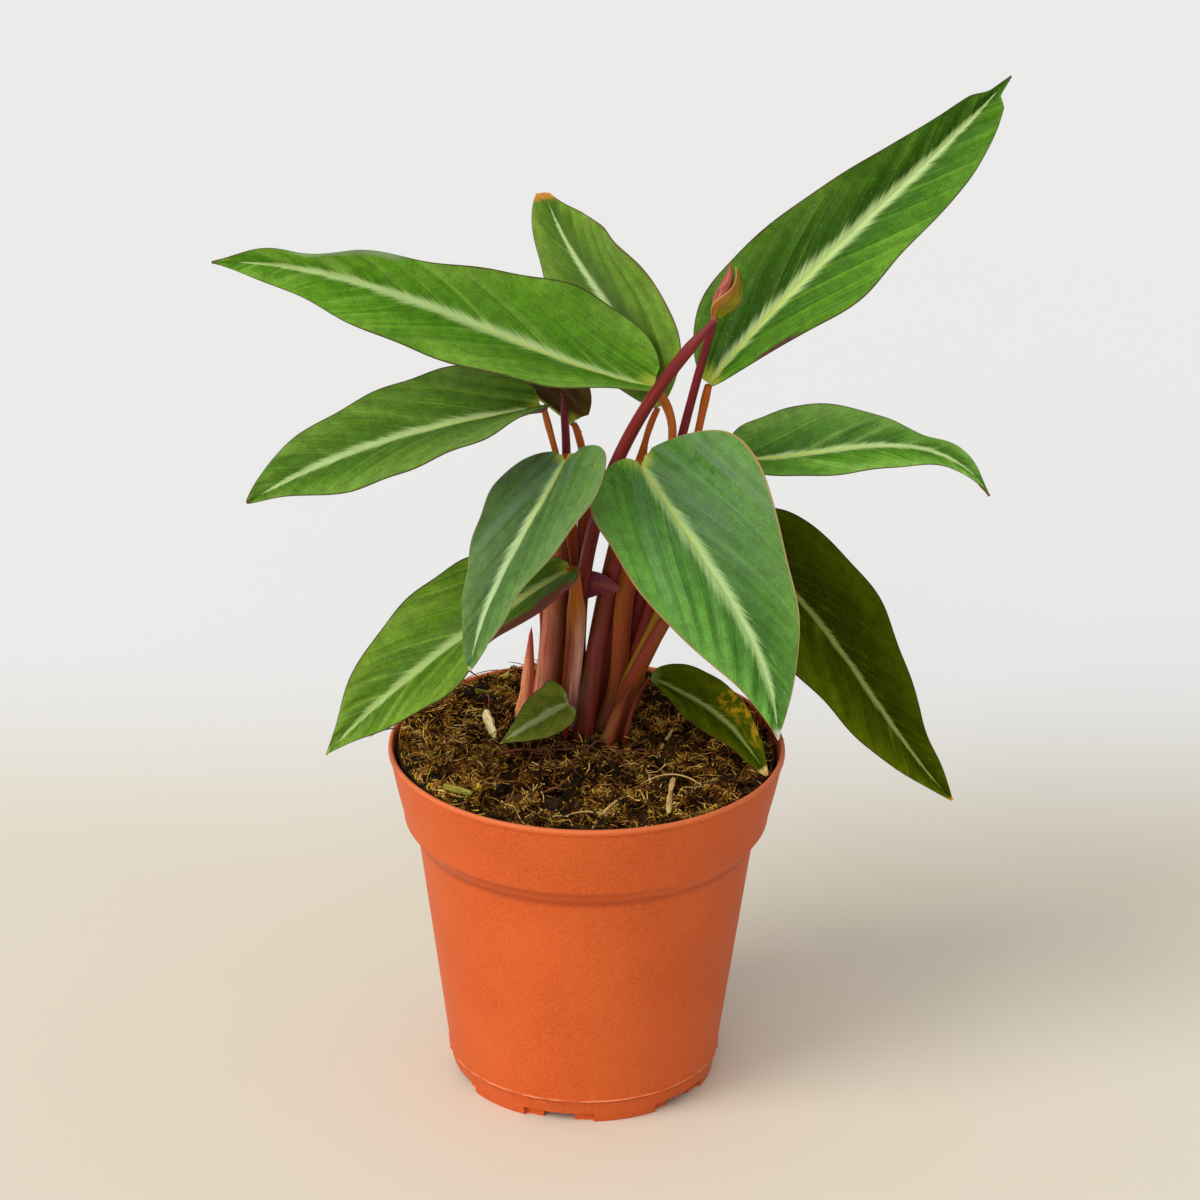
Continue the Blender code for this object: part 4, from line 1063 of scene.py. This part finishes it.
class Growth:
    """Builds the Geometry Nodes tree that lays fibres on the soil."""

    def __init__(self, name):
        self.tree = bpy.data.node_groups.new(name, "GeometryNodeTree")
        self.sockets = {}
        self.socket("Ground", "NodeSocketGeometry")
        face = self.tree.interface
        face.new_socket(name="Fibres", in_out="OUTPUT", socket_type="NodeSocketGeometry")

    def socket(self, name, kind):
        made = self.tree.interface.new_socket(name=name, in_out="INPUT", socket_type=kind)
        self.sockets[name] = made.identifier
        return made

    def node(self, kind, inputs=None, **settings):
        made = self.tree.nodes.new(kind)
        for key, value in settings.items():
            setattr(made, key, value)
        for key, value in (inputs or {}).items():
            socket = made.inputs[key]
            if isinstance(value, bpy.types.NodeSocket):
                self.tree.links.new(value, socket)
            else:
                socket.default_value = value
        return made


def fibre_tree():
    """Short bent strands scattered over the ground, each laid at its own angle, length and thickness."""
    growth = Growth("lay_fibres")
    for name in ("Density", "Longest", "Thickness", "Bend", "Tilt"):
        growth.socket(name, "NodeSocketFloat")
    growth.socket("Seed", "NodeSocketInt")
    growth.socket("Finish", "NodeSocketMaterial")
    source = growth.node("NodeGroupInput").outputs
    where = growth.node("GeometryNodeInputPosition")
    tufts = growth.node("ShaderNodeTexNoise", {"Vector": where.outputs[0], "Scale": 115.0, "Detail": 2.0})
    crowd = growth.node("ShaderNodeMapRange", {0: tufts.outputs[0], 1: 0.40, 2: 0.62, 3: 0.08, 4: 1.7})
    dense = growth.node("ShaderNodeMath", {0: crowd.outputs[0], 1: source["Density"]}, operation="MULTIPLY")
    scatter = growth.node("GeometryNodeDistributePointsOnFaces", {
        "Mesh": source["Ground"], "Density": dense.outputs[0], "Seed": source["Seed"],
    })
    strand = growth.node("GeometryNodeCurvePrimitiveLine", {
        "Start": (-0.5, 0, 0), "End": (0.5, 0, 0),
    })
    beads = growth.node("GeometryNodeResampleCurve", {"Curve": strand.outputs[0], "Count": 6})
    lean = growth.node("ShaderNodeMath", {0: source["Tilt"], 1: -1.0}, operation="MULTIPLY")
    low = growth.node("ShaderNodeCombineXYZ", {0: 0.0, 1: lean.outputs[0], 2: 0.0})
    high = growth.node("ShaderNodeCombineXYZ", {0: 0.0, 1: source["Tilt"], 2: math.tau})
    turn = growth.node("FunctionNodeRandomValue", data_type="FLOAT_VECTOR")
    growth.tree.links.new(low.outputs[0], turn.inputs[0])
    growth.tree.links.new(high.outputs[0], turn.inputs[1])
    growth.tree.links.new(source["Seed"], turn.inputs["Seed"])
    size = growth.node("FunctionNodeRandomValue", data_type="FLOAT")
    size.inputs[2].default_value = 0.25
    size.inputs[3].default_value = 1.0
    scale = growth.node("ShaderNodeMath", {0: size.outputs[1], 1: source["Longest"]}, operation="MULTIPLY")
    placed = growth.node("GeometryNodeInstanceOnPoints", {
        "Points": scatter.outputs["Points"], "Instance": beads.outputs[0],
        "Rotation": turn.outputs[0], "Scale": scale.outputs[0],
    })
    tone = growth.node("FunctionNodeRandomValue", data_type="FLOAT")
    tone.inputs["Seed"].default_value = 11
    marked = growth.node("GeometryNodeStoreNamedAttribute", {
        "Geometry": placed.outputs[0], "Name": "tone", "Value": tone.outputs[1],
    }, data_type="FLOAT", domain="INSTANCE")
    loose = growth.node("GeometryNodeRealizeInstances", {"Geometry": marked.outputs[0]})
    place = growth.node("GeometryNodeInputPosition")
    swirl = growth.node("ShaderNodeTexNoise", {"Vector": place.outputs[0], "Scale": 170.0, "Detail": 1.5})
    centred = growth.node("ShaderNodeVectorMath", {0: swirl.outputs["Color"], 1: (0.5, 0.5, 0.5)},
                          operation="SUBTRACT")
    push = growth.node("ShaderNodeVectorMath", {0: centred.outputs[0]}, operation="SCALE")
    growth.tree.links.new(source["Bend"], push.inputs["Scale"])
    bent = growth.node("GeometryNodeSetPosition", {
        "Geometry": loose.outputs[0], "Offset": push.outputs[0],
    })
    # Ends that would reach through the wall are drawn in
    spot = growth.node("GeometryNodeInputPosition")
    flat = growth.node("ShaderNodeVectorMath", {0: spot.outputs[0], 1: (1.0, 1.0, 0.0)}, operation="MULTIPLY")
    radius = growth.node("ShaderNodeVectorMath", {0: flat.outputs[0]}, operation="LENGTH")
    room = growth.node("ShaderNodeMath", {0: 49.6 * MM, 1: radius.outputs["Value"]}, operation="DIVIDE")
    room = growth.node("ShaderNodeMath", {0: room.outputs[0], 1: 1.0}, operation="MINIMUM")
    inward = growth.node("ShaderNodeCombineXYZ", {0: room.outputs[0], 1: room.outputs[0], 2: 1.0})
    kept = growth.node("ShaderNodeVectorMath", {0: spot.outputs[0], 1: inward.outputs[0]},
                       operation="MULTIPLY")
    inside = growth.node("GeometryNodeSetPosition", {
        "Geometry": bent.outputs[0], "Position": kept.outputs[0],
    })
    ring = growth.node("GeometryNodeCurvePrimitiveCircle", {"Resolution": 3, "Radius": 1.0})
    girth = growth.node("FunctionNodeRandomValue", data_type="FLOAT")
    girth.inputs[2].default_value = 0.35
    girth.inputs[3].default_value = 1.0
    girth.inputs["Seed"].default_value = 5
    thick = growth.node("ShaderNodeMath", {0: girth.outputs[1], 1: source["Thickness"]},
                        operation="MULTIPLY")
    skin = growth.node("GeometryNodeCurveToMesh", {
        "Curve": inside.outputs[0], "Profile Curve": ring.outputs[0], "Fill Caps": True,
    })
    growth.tree.links.new(thick.outputs[0], skin.inputs["Scale"])
    whole = growth.node("GeometryNodeRealizeInstances", {"Geometry": skin.outputs[0]})
    dressed = growth.node("GeometryNodeSetMaterial", {
        "Geometry": whole.outputs[0], "Material": source["Finish"],
    })
    target = growth.node("NodeGroupOutput")
    growth.tree.links.new(dressed.outputs[0], target.inputs[0])
    return growth


def lay_fibres(name, growth, ground, settings):
    """Runs the tree on the ground and returns its plain mesh."""
    item = bpy.data.objects.new(name, ground.data.copy())
    bpy.context.scene.collection.objects.link(item)
    modifier = item.modifiers.new("Lay", "NODES")
    modifier.node_group = growth.tree
    for key, value in settings.items():
        modifier[growth.sockets[key]] = value
    graph = bpy.context.evaluated_depsgraph_get()
    made = bpy.data.meshes.new_from_object(item.evaluated_get(graph))
    item.modifiers.clear()
    item.data = made
    made.name = name
    return item


FIBRE_STOPS = {
    "peat": [(0.0, (0.005, 0.002, 0.001)), (0.40, (0.042, 0.014, 0.003)), (0.70, (0.16, 0.058, 0.009)),
             (1.0, (0.38, 0.16, 0.026))],
    "golden": [(0.0, (0.12, 0.045, 0.006)), (0.40, (0.38, 0.17, 0.024)), (0.7, (0.78, 0.44, 0.08)),
               (1.0, (0.94, 0.68, 0.22))],
    "moss": [(0.0, (0.012, 0.006, 0.001)), (0.45, (0.13, 0.065, 0.004)), (0.75, (0.38, 0.25, 0.015)),
             (1.0, (0.55, 0.46, 0.04))],
}
FIBRE_MATS = {
    "peat_fibres": {"Density": 590000.0, "Longest": 9.0 * MM, "Thickness": 0.36 * MM,
                    "Bend": 8.0 * MM, "Tilt": 0.6, "Seed": 3, "Finish": "peat"},
    "golden_fibres": {"Density": 400000.0, "Longest": 9.0 * MM, "Thickness": 0.20 * MM,
                      "Bend": 8.0 * MM, "Tilt": 0.6, "Seed": 8, "Finish": "golden"},
    "straw_fibres": {"Density": 42000.0, "Longest": 13.0 * MM, "Thickness": 0.22 * MM,
                     "Bend": 5.0 * MM, "Tilt": 0.35, "Seed": 31, "Finish": "golden"},
    "moss_crumbs": {"Density": 590000.0, "Longest": 3.6 * MM, "Thickness": 0.36 * MM,
                    "Bend": 3.5 * MM, "Tilt": 1.2, "Seed": 21, "Finish": "moss"},
}

ROOT_SEED = 12
LOOSE_ROOTS = 36

# What lies on the soil: the finish, the radius at the middle, the flatness, and points as x, y and lift
LITTER = (
    ("root", 0.40, 1.0, ((-29, -9, 0.9), (-21, -3.4, 1.5), (-13.7, -2.2, 1.8), (-8, 1.0, 1.9), (-3, 2.4, 1.6))),
    ("root", 0.34, 1.0, ((-26, -6.5, 0.9), (-17, -3, 1.6), (-9, -1.0, 1.9), (-3, 0.4, 1.9), (3.4, -2, 1.2))),
    ("root", 0.30, 1.0, ((-11, -1.8, 1.4), (-5.6, -0.6, 1.9), (0.5, -0.8, 1.8), (4.6, -3.6, 1.5), (7.6, -8, 0.9))),
    ("root", 0.34, 1.0, ((-3, 0.6, 1.6), (-6.2, -4, 1.8), (-7.7, -10.7, 1.6), (-9.3, -20.3, 0.9))),
    ("root", 0.44, 1.0, ((-22, -41, 1.0), (-15.7, -31.8, 2.0), (-10.8, -25.1, 2.1), (-5, -20.6, 1.0))),
    ("root", 0.28, 1.0, ((12, -4, 0.5), (16, -9, 1.6), (22, -12, 1.4), (29, -10, 0.4))),
    ("straw", 0.42, 0.8, ((0.8, -46.1, 1.4), (6, -37, 2.2), (12.1, -26.3, 1.8))),
    ("straw", 0.95, 0.5, ((22.8, -15.6, 1.8), (22, -27, 2.5), (21.3, -38.1, 1.6))),
    ("straw", 0.85, 0.5, ((19.7, -0.3, 1.8), (21.4, 5.4, 3.0), (22.7, 11.6, 2.0))),
    ("straw", 0.24, 1.0, ((-46, -7, 1.0), (-43.5, -13, 1.8), (-42.2, -21.2, 0.8))),
    ("straw", 0.20, 1.0, ((-8, -42, 0.8), (0, -40.5, 2.0), (8, -42.5, 0.8))),
    ("straw", 0.22, 1.0, ((14, -18, 1.0), (22, -16, 2.2), (30, -21, 1.0))),
    ("straw", 0.20, 1.0, ((-36, 8, 1.0), (-30, 3, 2.0), (-22, 0, 0.8))),
    ("moss", 0.95, 0.5, ((-36.9, -31.0, 1.2), (-33, -33.5, 1.5), (-29.4, -36.0, 1.2))),
    ("moss", 0.85, 0.45, ((-30.5, 32.1, 1.2), (-26.5, 33.5, 1.7), (-22.8, 33.3, 1.2))),
    ("chip", 1.85, 0.6, ((-27.4, 20.0, 2.6), (-26, 13.5, 3.1), (-24.6, 7.3, 2.2))),
    ("hair", 0.13, 1.0, ((-12, 44, 0.4), (-16, 46, 4.2), (-22, 46.5, 5.6))),
    ("hair", 0.13, 1.0, ((-14, 45, 0.4), (-20, 46, 3.0), (-29, 45, 3.2), (-35, 39, 2.2))),
    ("hair", 0.11, 1.0, ((-10, 45, 0.4), (-12, 46, 5.0), (-18, 46, 7.2))),
    ("hair", 0.12, 1.0, ((27, 40, 0.4), (28, 41, 4.0), (27.4, 41, 7.4))),
    ("hair", 0.11, 1.0, ((24, 41, 0.4), (25.5, 42, 3.0), (30, 42, 4.6))),
    ("hair", 0.12, 1.0, ((47, 6, 1.4), (49.4, 7, 4.0), (51.2, 8, 6.0), (50.6, 9, 8.2))),
    ("hair", 0.11, 1.0, ((46, 2, 1.4), (49.8, 3, 3.8), (52.6, 4, 3.4))),
    ("hair", 0.16, 1.0, ((-43, 8, 1.0), (-48, 7.4, 3.6), (-53.5, 6.6, 3.6), (-58, 5, 2.0))),
)
LITTER_COLOURS = {
    "root": ((0.045, 0.014, 0.004), (0.24, 0.075, 0.018)),
    "straw": ((0.36, 0.19, 0.04), (0.84, 0.58, 0.20)),
    "moss": ((0.11, 0.10, 0.010), (0.30, 0.27, 0.035)),
    "chip": ((0.60, 0.42, 0.14), (0.92, 0.78, 0.42)),
    "hair": ((0.012, 0.007, 0.005), (0.10, 0.045, 0.020)),
}


def litter_finish(name):
    finish = Finish(f"litter_{name}", 0.75, 0.25)
    around_x, around_y, along_mm = finish.parts(finish.attribute("lay", "Vector"))
    streak = finish.noise(finish.vector(finish.math("MULTIPLY", around_x, 2.5), around_y,
                                        finish.math("MULTIPLY", along_mm, 0.25)), 1.0, 4.0)
    dark, light = LITTER_COLOURS[name]
    finish.colour(finish.mix(finish.smooth(streak, 0.32, 0.62), dark, light))
    finish.relief(streak, 0.8, 0.0004)
    return finish.made


def loose_roots():
    """Thin roots that wander over the soil, most of them in front of the clump."""
    chance = np.random.default_rng(ROOT_SEED)
    rows = []
    for number in range(LOOSE_ROOTS):
        heading = chance.uniform(-math.pi, 0) if number % 3 else chance.uniform(0, 2 * math.pi)
        start = np.array([chance.uniform(-14, 8), chance.uniform(-5, 2)])
        if number % 3 == 0:
            far = chance.uniform(0, 2 * math.pi)
            start = chance.uniform(24, 40) * np.array([math.cos(far), math.sin(far)])
        spots = []
        for step in range(5):
            spots.append((start[0], start[1], 0.9 + chance.uniform(0.0, 1.0)))
            heading += chance.normal(0, 0.45)
            start = start + chance.uniform(2.4, 5.2) * np.array([math.cos(heading), math.sin(heading)])
            start = start * min(1, 46 / np.linalg.norm(start))
        rows.append(("root", chance.uniform(0.12, 0.30), 1.0, tuple(spots)))
    return rows


def drop_litter():
    """Roots, straws, a wood chip and stray hairs, each on a curve over the soil."""
    finishes = {name: litter_finish(name) for name in LITTER_COLOURS}
    for number, (name, radius, flat, spots) in enumerate(list(LITTER) + loose_roots()):
        line = [(x, y, SOIL_LEVEL + lift if name == "hair" else soil_height(x, y) + lift)
                for x, y, lift in spots]
        rows = 22
        places = np.linspace(0, 1, rows)
        blunt = 0.25 if name in ("chip", "straw", "moss") else 0.5
        radii = radius * (0.25 + 0.75 * np.sin(np.pi * places) ** blunt)
        if name == "chip":
            radii = radii * (1.1 - 0.4 * places + 0.12 * np.sin(places * 17))
        item = make_tube(f"{name}_{number + 1:02d}", line, radii, 8, np.full(rows, flat), finishes[name])
        keep(item, "soil")


def dress_soil():
    bed, ground = make_soil()
    keep(bed, "soil", "soil")
    growth = fibre_tree()
    for name, settings in FIBRE_MATS.items():
        settings = dict(settings)
        settings["Finish"] = fibre_finish(settings["Finish"], FIBRE_STOPS[settings["Finish"]])
        keep(lay_fibres(name, growth, ground, settings), "soil")
    bpy.data.objects.remove(ground)
    drop_litter()


# Pot


def pot_finish():
    finish = Finish("pot_plastic", 0.5, 0.18)
    place = finish.place()
    cloud = finish.noise(place, 35, 3)
    grain = finish.noise(place, 1500, 2)
    pepper = finish.cells(place, 900)
    colour = finish.mix(finish.smooth(cloud, 0.35, 0.65), (0.525, 0.078, 0.010), (0.575, 0.092, 0.015))
    colour = finish.mix(finish.smooth(grain, 0.35, 0.70, 0.0, 0.45), colour, (0.66, 0.145, 0.040))
    colour = finish.mix(finish.smooth(pepper, 0.0, 0.16, 0.35, 0.0), colour, (0.30, 0.035, 0.010))
    height = finish.parts(place)[2]
    # A paler band along the rim's top edge: a painted highlight.
    lip = finish.smooth(height, (POT_HEIGHT - 1.2) * MM, (POT_HEIGHT - 0.6) * MM, 0.0, 0.40)
    colour = finish.mix(lip, colour, (0.74, 0.22, 0.09))
    ragged = finish.smooth(finish.noise(place, 160, 2), 0.40, 0.55)
    # Thin lines round the pot: painted shade under the rim lip, painted shade on the ledge under the band, painted
    # shade under the parting flash, and a paler line along the flash.
    for level, reach, share, paint in (
        (POT_HEIGHT - 1.8, 0.4, 0.25, (0.26, 0.030, 0.006)),
        (LEDGE_BOTTOM + 1.3, 2.2, 0.45, (0.26, 0.030, 0.006)),
        (PARTING_HEIGHT - 0.55, 0.5, 0.45, (0.26, 0.030, 0.006)),
        (PARTING_HEIGHT + 0.05, 0.4, 0.55, (0.86, 0.36, 0.17)),
    ):
        off = finish.math("ABSOLUTE", finish.math("SUBTRACT", height, level * MM))
        line = finish.smooth(off, 0.0, reach * MM, share, 0.0)
        if level < POT_HEIGHT / 2:
            line = finish.math("MULTIPLY", line, ragged)
        colour = finish.mix(line, colour, paint)
    finish.colour(colour)
    finish.rough(finish.smooth(grain, 0.3, 0.7, 0.44, 0.58))
    finish.relief(grain, 0.25, 0.0002)
    return finish.made


def pot_profile():
    """The pot's section from the middle of its floor, up the inside, over the rim and down to the foot."""
    inner = [
        (0, WALL), (HUB_RADIUS - 1.5, WALL), (HUB_RADIUS - 0.7, CHANNEL_HEIGHT + WALL),
        (PARTING_RADIUS - WALL - 1.5, CHANNEL_HEIGHT + WALL), (PARTING_RADIUS - WALL, PARTING_HEIGHT),
        (BODY_TOP_RADIUS - WALL, LEDGE_BOTTOM), (BODY_TOP_RADIUS + 0.8 - WALL, LEDGE_BOTTOM + 2.1),
        (BAND_BOTTOM_RADIUS - WALL, BAND_BOTTOM + 0.3), (RIM_RADIUS - 0.6 - WALL, POT_HEIGHT - 2.8),
        (RIM_RADIUS - WALL, POT_HEIGHT - 0.5),
    ]
    rim = []
    for step in range(9):
        angle = math.pi - math.pi * step / 8
        rim.append((RIM_RADIUS - 0.6 + 0.6 * math.cos(angle), POT_HEIGHT - 0.6 + 0.6 * math.sin(angle)))
    lip = [
        (RIM_RADIUS + 0.05, POT_HEIGHT - 1.3), (RIM_RADIUS, POT_HEIGHT - 1.6),
        (RIM_RADIUS - 0.42, POT_HEIGHT - 1.9), (RIM_RADIUS - 0.62, POT_HEIGHT - 3.3),
    ]
    band = [
        (BAND_BOTTOM_RADIUS + 2.2, POT_HEIGHT - 10.0), (BAND_BOTTOM_RADIUS + 0.3, BAND_BOTTOM + 1.5),
    ]
    for step in range(7):
        angle = math.radians(-8 - 60 * step / 6)
        rim_x = BAND_BOTTOM_RADIUS - 2.0 + 2.1 * math.cos(angle)
        band.append((rim_x, BAND_BOTTOM + 0.1 + 2.1 * math.sin(angle)))
    ledge = [
        (BODY_TOP_RADIUS + 1.3, LEDGE_BOTTOM + 2.6), (BODY_TOP_RADIUS + 0.55, LEDGE_BOTTOM + 1.3),
        (BODY_TOP_RADIUS + 0.15, LEDGE_BOTTOM + 0.4), (BODY_TOP_RADIUS - 0.05, LEDGE_BOTTOM - 0.8),
    ]
    body = []
    for step in range(1, 13):
        share = step / 12
        radius = BODY_TOP_RADIUS + (PARTING_RADIUS - BODY_TOP_RADIUS) * share
        body.append((radius, LEDGE_BOTTOM + (PARTING_HEIGHT + 0.45 - LEDGE_BOTTOM) * share))
    foot = [
        (PARTING_RADIUS + 0.35, PARTING_HEIGHT + 0.05), (PARTING_RADIUS - 0.12, PARTING_HEIGHT - 0.35),
        (FOOT_RADIUS + 0.9, 4.0), (FOOT_RADIUS + 0.45, NOTCH_HEIGHT + 0.02), (FOOT_RADIUS + 0.2, 0.5),
        (FOOT_RADIUS - 0.15, 0), (NOTCH_FLOOR_RADIUS + 0.02, 0), (NOTCH_FLOOR_RADIUS - 0.02, 0),
        (FOOT_INNER_RADIUS, 0), (FOOT_INNER_RADIUS - 0.5, CHANNEL_HEIGHT),
        (HUB_RADIUS + 0.5, CHANNEL_HEIGHT), (HUB_RADIUS, 0), (0, 0),
    ]
    return inner + rim[1:] + lip + band + ledge + body + foot


def pot_angles():
    """Even steps round the pot, with a pair of steps at each side of every notch and slot."""
    angles = [2 * math.pi * step / POT_STEPS for step in range(POT_STEPS)]
    for number in range(DRAINS):
        middle = FIRST_DRAIN + number * 2 * math.pi / DRAINS
        for half in (NOTCH_WIDTH / 2 / FOOT_RADIUS, SLOT_WIDTH / 2 / FOOT_INNER_RADIUS):
            for side in (-half, half):
                for nudge in (-0.0006, 0.0006):
                    angles.append((middle + side + nudge) % (2 * math.pi))
    return sorted(angles)


def make_pot():
    profile = pot_profile()
    angles = pot_angles()
    points = []
    for angle in angles:
        off = min(
            abs((angle - FIRST_DRAIN - number * 2 * math.pi / DRAINS + math.pi) % (2 * math.pi) - math.pi)
            for number in range(DRAINS)
        )
        in_notch = off < NOTCH_WIDTH / 2 / FOOT_RADIUS
        in_slot = off < SLOT_WIDTH / 2 / FOOT_INNER_RADIUS
        spot = Vector((math.cos(angle), math.sin(angle), 0))
        flash = 0.55 + 0.45 * noise.noise(spot * 5) + 0.5 * noise.noise(spot * 21)
        sway = 0.12 * noise.noise(spot * 1.3)
        for radius, height in profile[1:-1]:
            if PARTING_RADIUS + 0.3 < radius < PARTING_RADIUS + 0.4 and height < PARTING_HEIGHT + 0.3:
                radius = PARTING_RADIUS + 0.55 * flash
            if in_notch and radius > NOTCH_FLOOR_RADIUS and height < NOTCH_HEIGHT:
                height = NOTCH_HEIGHT
            if in_slot and FOOT_INNER_RADIUS - 0.1 < radius < NOTCH_FLOOR_RADIUS and height < 1:
                height = SLOT_HEIGHT
            if height > 10:
                radius += sway * height / POT_HEIGHT
            points.append((radius * math.cos(angle), radius * math.sin(angle), height))
    count = len(profile) - 2
    columns = len(angles)
    centre_in = len(points)
    points.append((0, 0, WALL))
    points.append((0, 0, 0))
    faces = []
    for column in range(columns):
        here = column * count
        there = (column + 1) % columns * count
        for row in range(count - 1):
            faces.append((here + row, here + row + 1, there + row + 1, there + row))
        faces.append((centre_in, here, there))
        faces.append((centre_in + 1, there + count - 1, here + count - 1))
    item = put_mesh("pot_shell", points, faces, [pot_finish()])
    check = item.data
    for number in range(DRAINS):
        angle = FIRST_DRAIN + number * 2 * math.pi / DRAINS
        cutter = make_tube("drain", ((DRAIN_CIRCLE * math.cos(angle), DRAIN_CIRCLE * math.sin(angle), 1.0),
                                     (DRAIN_CIRCLE * math.cos(angle), DRAIN_CIRCLE * math.sin(angle), 6.0)),
                           np.full(2, DRAIN_RADIUS), 32, np.ones(2), check.materials[0])
        boolean = item.modifiers.new("Drain", "BOOLEAN")
        boolean.object = cutter
        graph = bpy.context.evaluated_depsgraph_get()
        made = bpy.data.meshes.new_from_object(item.evaluated_get(graph))
        item.modifiers.clear()
        item.data = made
        bpy.data.objects.remove(cutter)
    item.data.set_sharp_from_angle(angle=math.radians(38))
    keep(item, "pot", "pot")


# The plant


def make_plant():
    wine = leaf_under("wine", (0.085, 0.012, 0.030), (0.16, 0.024, 0.050))
    plum = leaf_under("plum_red", (0.15, 0.020, 0.035), (0.24, 0.040, 0.060))
    slots = {"leaf_05": "dark_blade", "leaf_09": "dark_blade", "leaf_13": "dark_blade",
             "leaf_11": "purple_blade"}
    for name, blade in BLADES.items():
        small = name in ("leaf_11", "leaf_12", "leaf_13")
        rows, columns = (70, 33) if small else (112, 45)
        under = plum if name in ("leaf_10", "leaf_11") else wine
        item = make_blade(name, blade, LEAVES[name], under, rows, columns)
        keep(item, slots.get(name, "blade"), f"{name}_blade")
    record_slots = {row["node"]: row["material_slot"] for row in frame["record"]["subparts"]}
    for name, stalk in STALKS.items():
        keep(make_stalk(name, stalk), record_slots[name], name)


def make_rolled_leaf():
    """The new leaf: a pink rolled core with its olive outer turn opening on the right."""
    rows = 40
    places = np.linspace(0, 1, rows)
    core_finish = Finish("rolled_core", 0.38, 0.2)
    around_x, around_y, along_mm = core_finish.parts(core_finish.attribute("lay", "Vector"))
    streak = core_finish.noise(core_finish.vector(core_finish.math("MULTIPLY", around_x, 3.0),
                                                  core_finish.math("MULTIPLY", around_y, 3.0),
                                                  core_finish.math("MULTIPLY", along_mm, 0.15)), 1.0, 3.0)
    core_finish.colour(core_finish.mix(core_finish.smooth(streak, 0.35, 0.7), (0.30, 0.045, 0.035),
                                       (0.46, 0.135, 0.095)))
    radii = 0.7 + 0.95 * np.sin(np.pi * places**0.8) ** 1.1
    radii = radii * np.clip((1 - places) * 4, 0.06, 1) ** 0.7
    line = np.array(ROLLED_LEAF_LINE, float) + np.array([-1.0, -0.2, 0.1])
    seat = np.array(STALKS["rolled_leaf_stalk"].line[-1]) - np.array([0.0, 0.0, 0.6])
    core = make_tube("rolled_leaf_core", line, radii, 24, np.full(rows, 0.9), core_finish.made, 0.35, 0.7, seat)
    keep(core, "rolled_leaf", "rolled_leaf")
    flap_finish = Finish("rolled_flap", 0.40, 0.15)
    lay_x, lay_y, lay_z = flap_finish.parts(flap_finish.attribute("lay", "Vector"))
    band = flap_finish.noise(flap_finish.vector(flap_finish.math("MULTIPLY", lay_x, 0.2), lay_y, 0.0), 1.0, 2)
    colour = flap_finish.mix(flap_finish.smooth(band, 0.35, 0.7), (0.11, 0.105, 0.002), (0.24, 0.205, 0.005))
    colour = flap_finish.mix(flap_finish.smooth(lay_y, -1.0, -2.7, 0.0, 0.8), colour, (0.26, 0.060, 0.020))
    colour = flap_finish.mix(flap_finish.smooth(lay_z, 0.90, 1.0, 0.0, 0.6), colour, (0.56, 0.46, 0.09))
    flap_finish.colour(colour)
    columns = 30
    middle = along(ROLLED_LEAF_LINE, places * 0.93)
    ahead = directions(ROLLED_LEAF_LINE, places * 0.93)
    wide = unit(np.cross(np.array([0.0, 1.0, 0.0]), ahead))
    deep = np.cross(ahead, wide)
    swell = 1.5 + 3.1 * np.sin(np.pi * places**0.9) ** 1.2 - 0.9 * places
    outside = np.zeros((rows, columns, 3))
    inside = np.zeros((rows, columns, 3))
    lay = np.zeros((rows, columns, 3))
    for row, place in enumerate(places):
        angles = np.radians(np.linspace(-160 + 105 * place, 60 - 45 * place, columns))
        for shell, shrink in ((outside, 0.0), (inside, 0.32)):
            radius = swell[row] - shrink
            shell[row] = middle[row] + radius * (
                np.cos(angles)[:, None] * wide[row] + np.sin(angles)[:, None] * deep[row] * 0.85
            )
        share = np.linspace(-1, 1, columns)
        lay[row] = np.stack([np.full(columns, place * 14), share * 3, np.maximum(np.abs(share), place)], 1)
    count = rows * columns
    grid = np.arange(count).reshape(rows, columns)
    a, b, c, d = grid[:-1, :-1], grid[:-1, 1:], grid[1:, 1:], grid[1:, :-1]
    outer = np.stack([a, b, c, d], axis=-1).reshape(-1, 4)
    inner = np.stack([a, d, c, b], axis=-1).reshape(-1, 4) + count
    rim = np.concatenate([grid[0, :-1], grid[:-1, -1], grid[-1, :0:-1], grid[:0:-1, 0]])
    after = np.roll(rim, -1)
    sides = np.stack([after, rim, rim + count, after + count], axis=-1)
    faces = np.concatenate([outer, inner, sides]).tolist()
    points = np.concatenate([outside.reshape(-1, 3), inside.reshape(-1, 3)])
    marks = {"lay": np.concatenate([lay.reshape(-1, 3)] * 2)}
    flap = put_mesh("rolled_leaf_flap", points, faces, [flap_finish.made], None, marks)
    flap.data.set_sharp_from_angle(angle=math.radians(50))
    keep(flap, "rolled_leaf")


def rhizome_finish():
    finish = Finish("rhizome_bark", 0.85)
    bark = finish.noise(finish.place(), 220, 4)
    finish.colour(finish.mix(bark, (0.16, 0.09, 0.045), (0.36, 0.24, 0.13)))
    finish.relief(bark, 0.8, 0.001)
    return finish.made


set_camera()
set_studio()
add_floor()
make_pot()
make_plant()
make_rolled_leaf()
dress_soil()
rhizome = frame["nodes"]["rhizome"]
rhizome.data.materials.clear()
rhizome.data.materials.append(rhizome_finish())
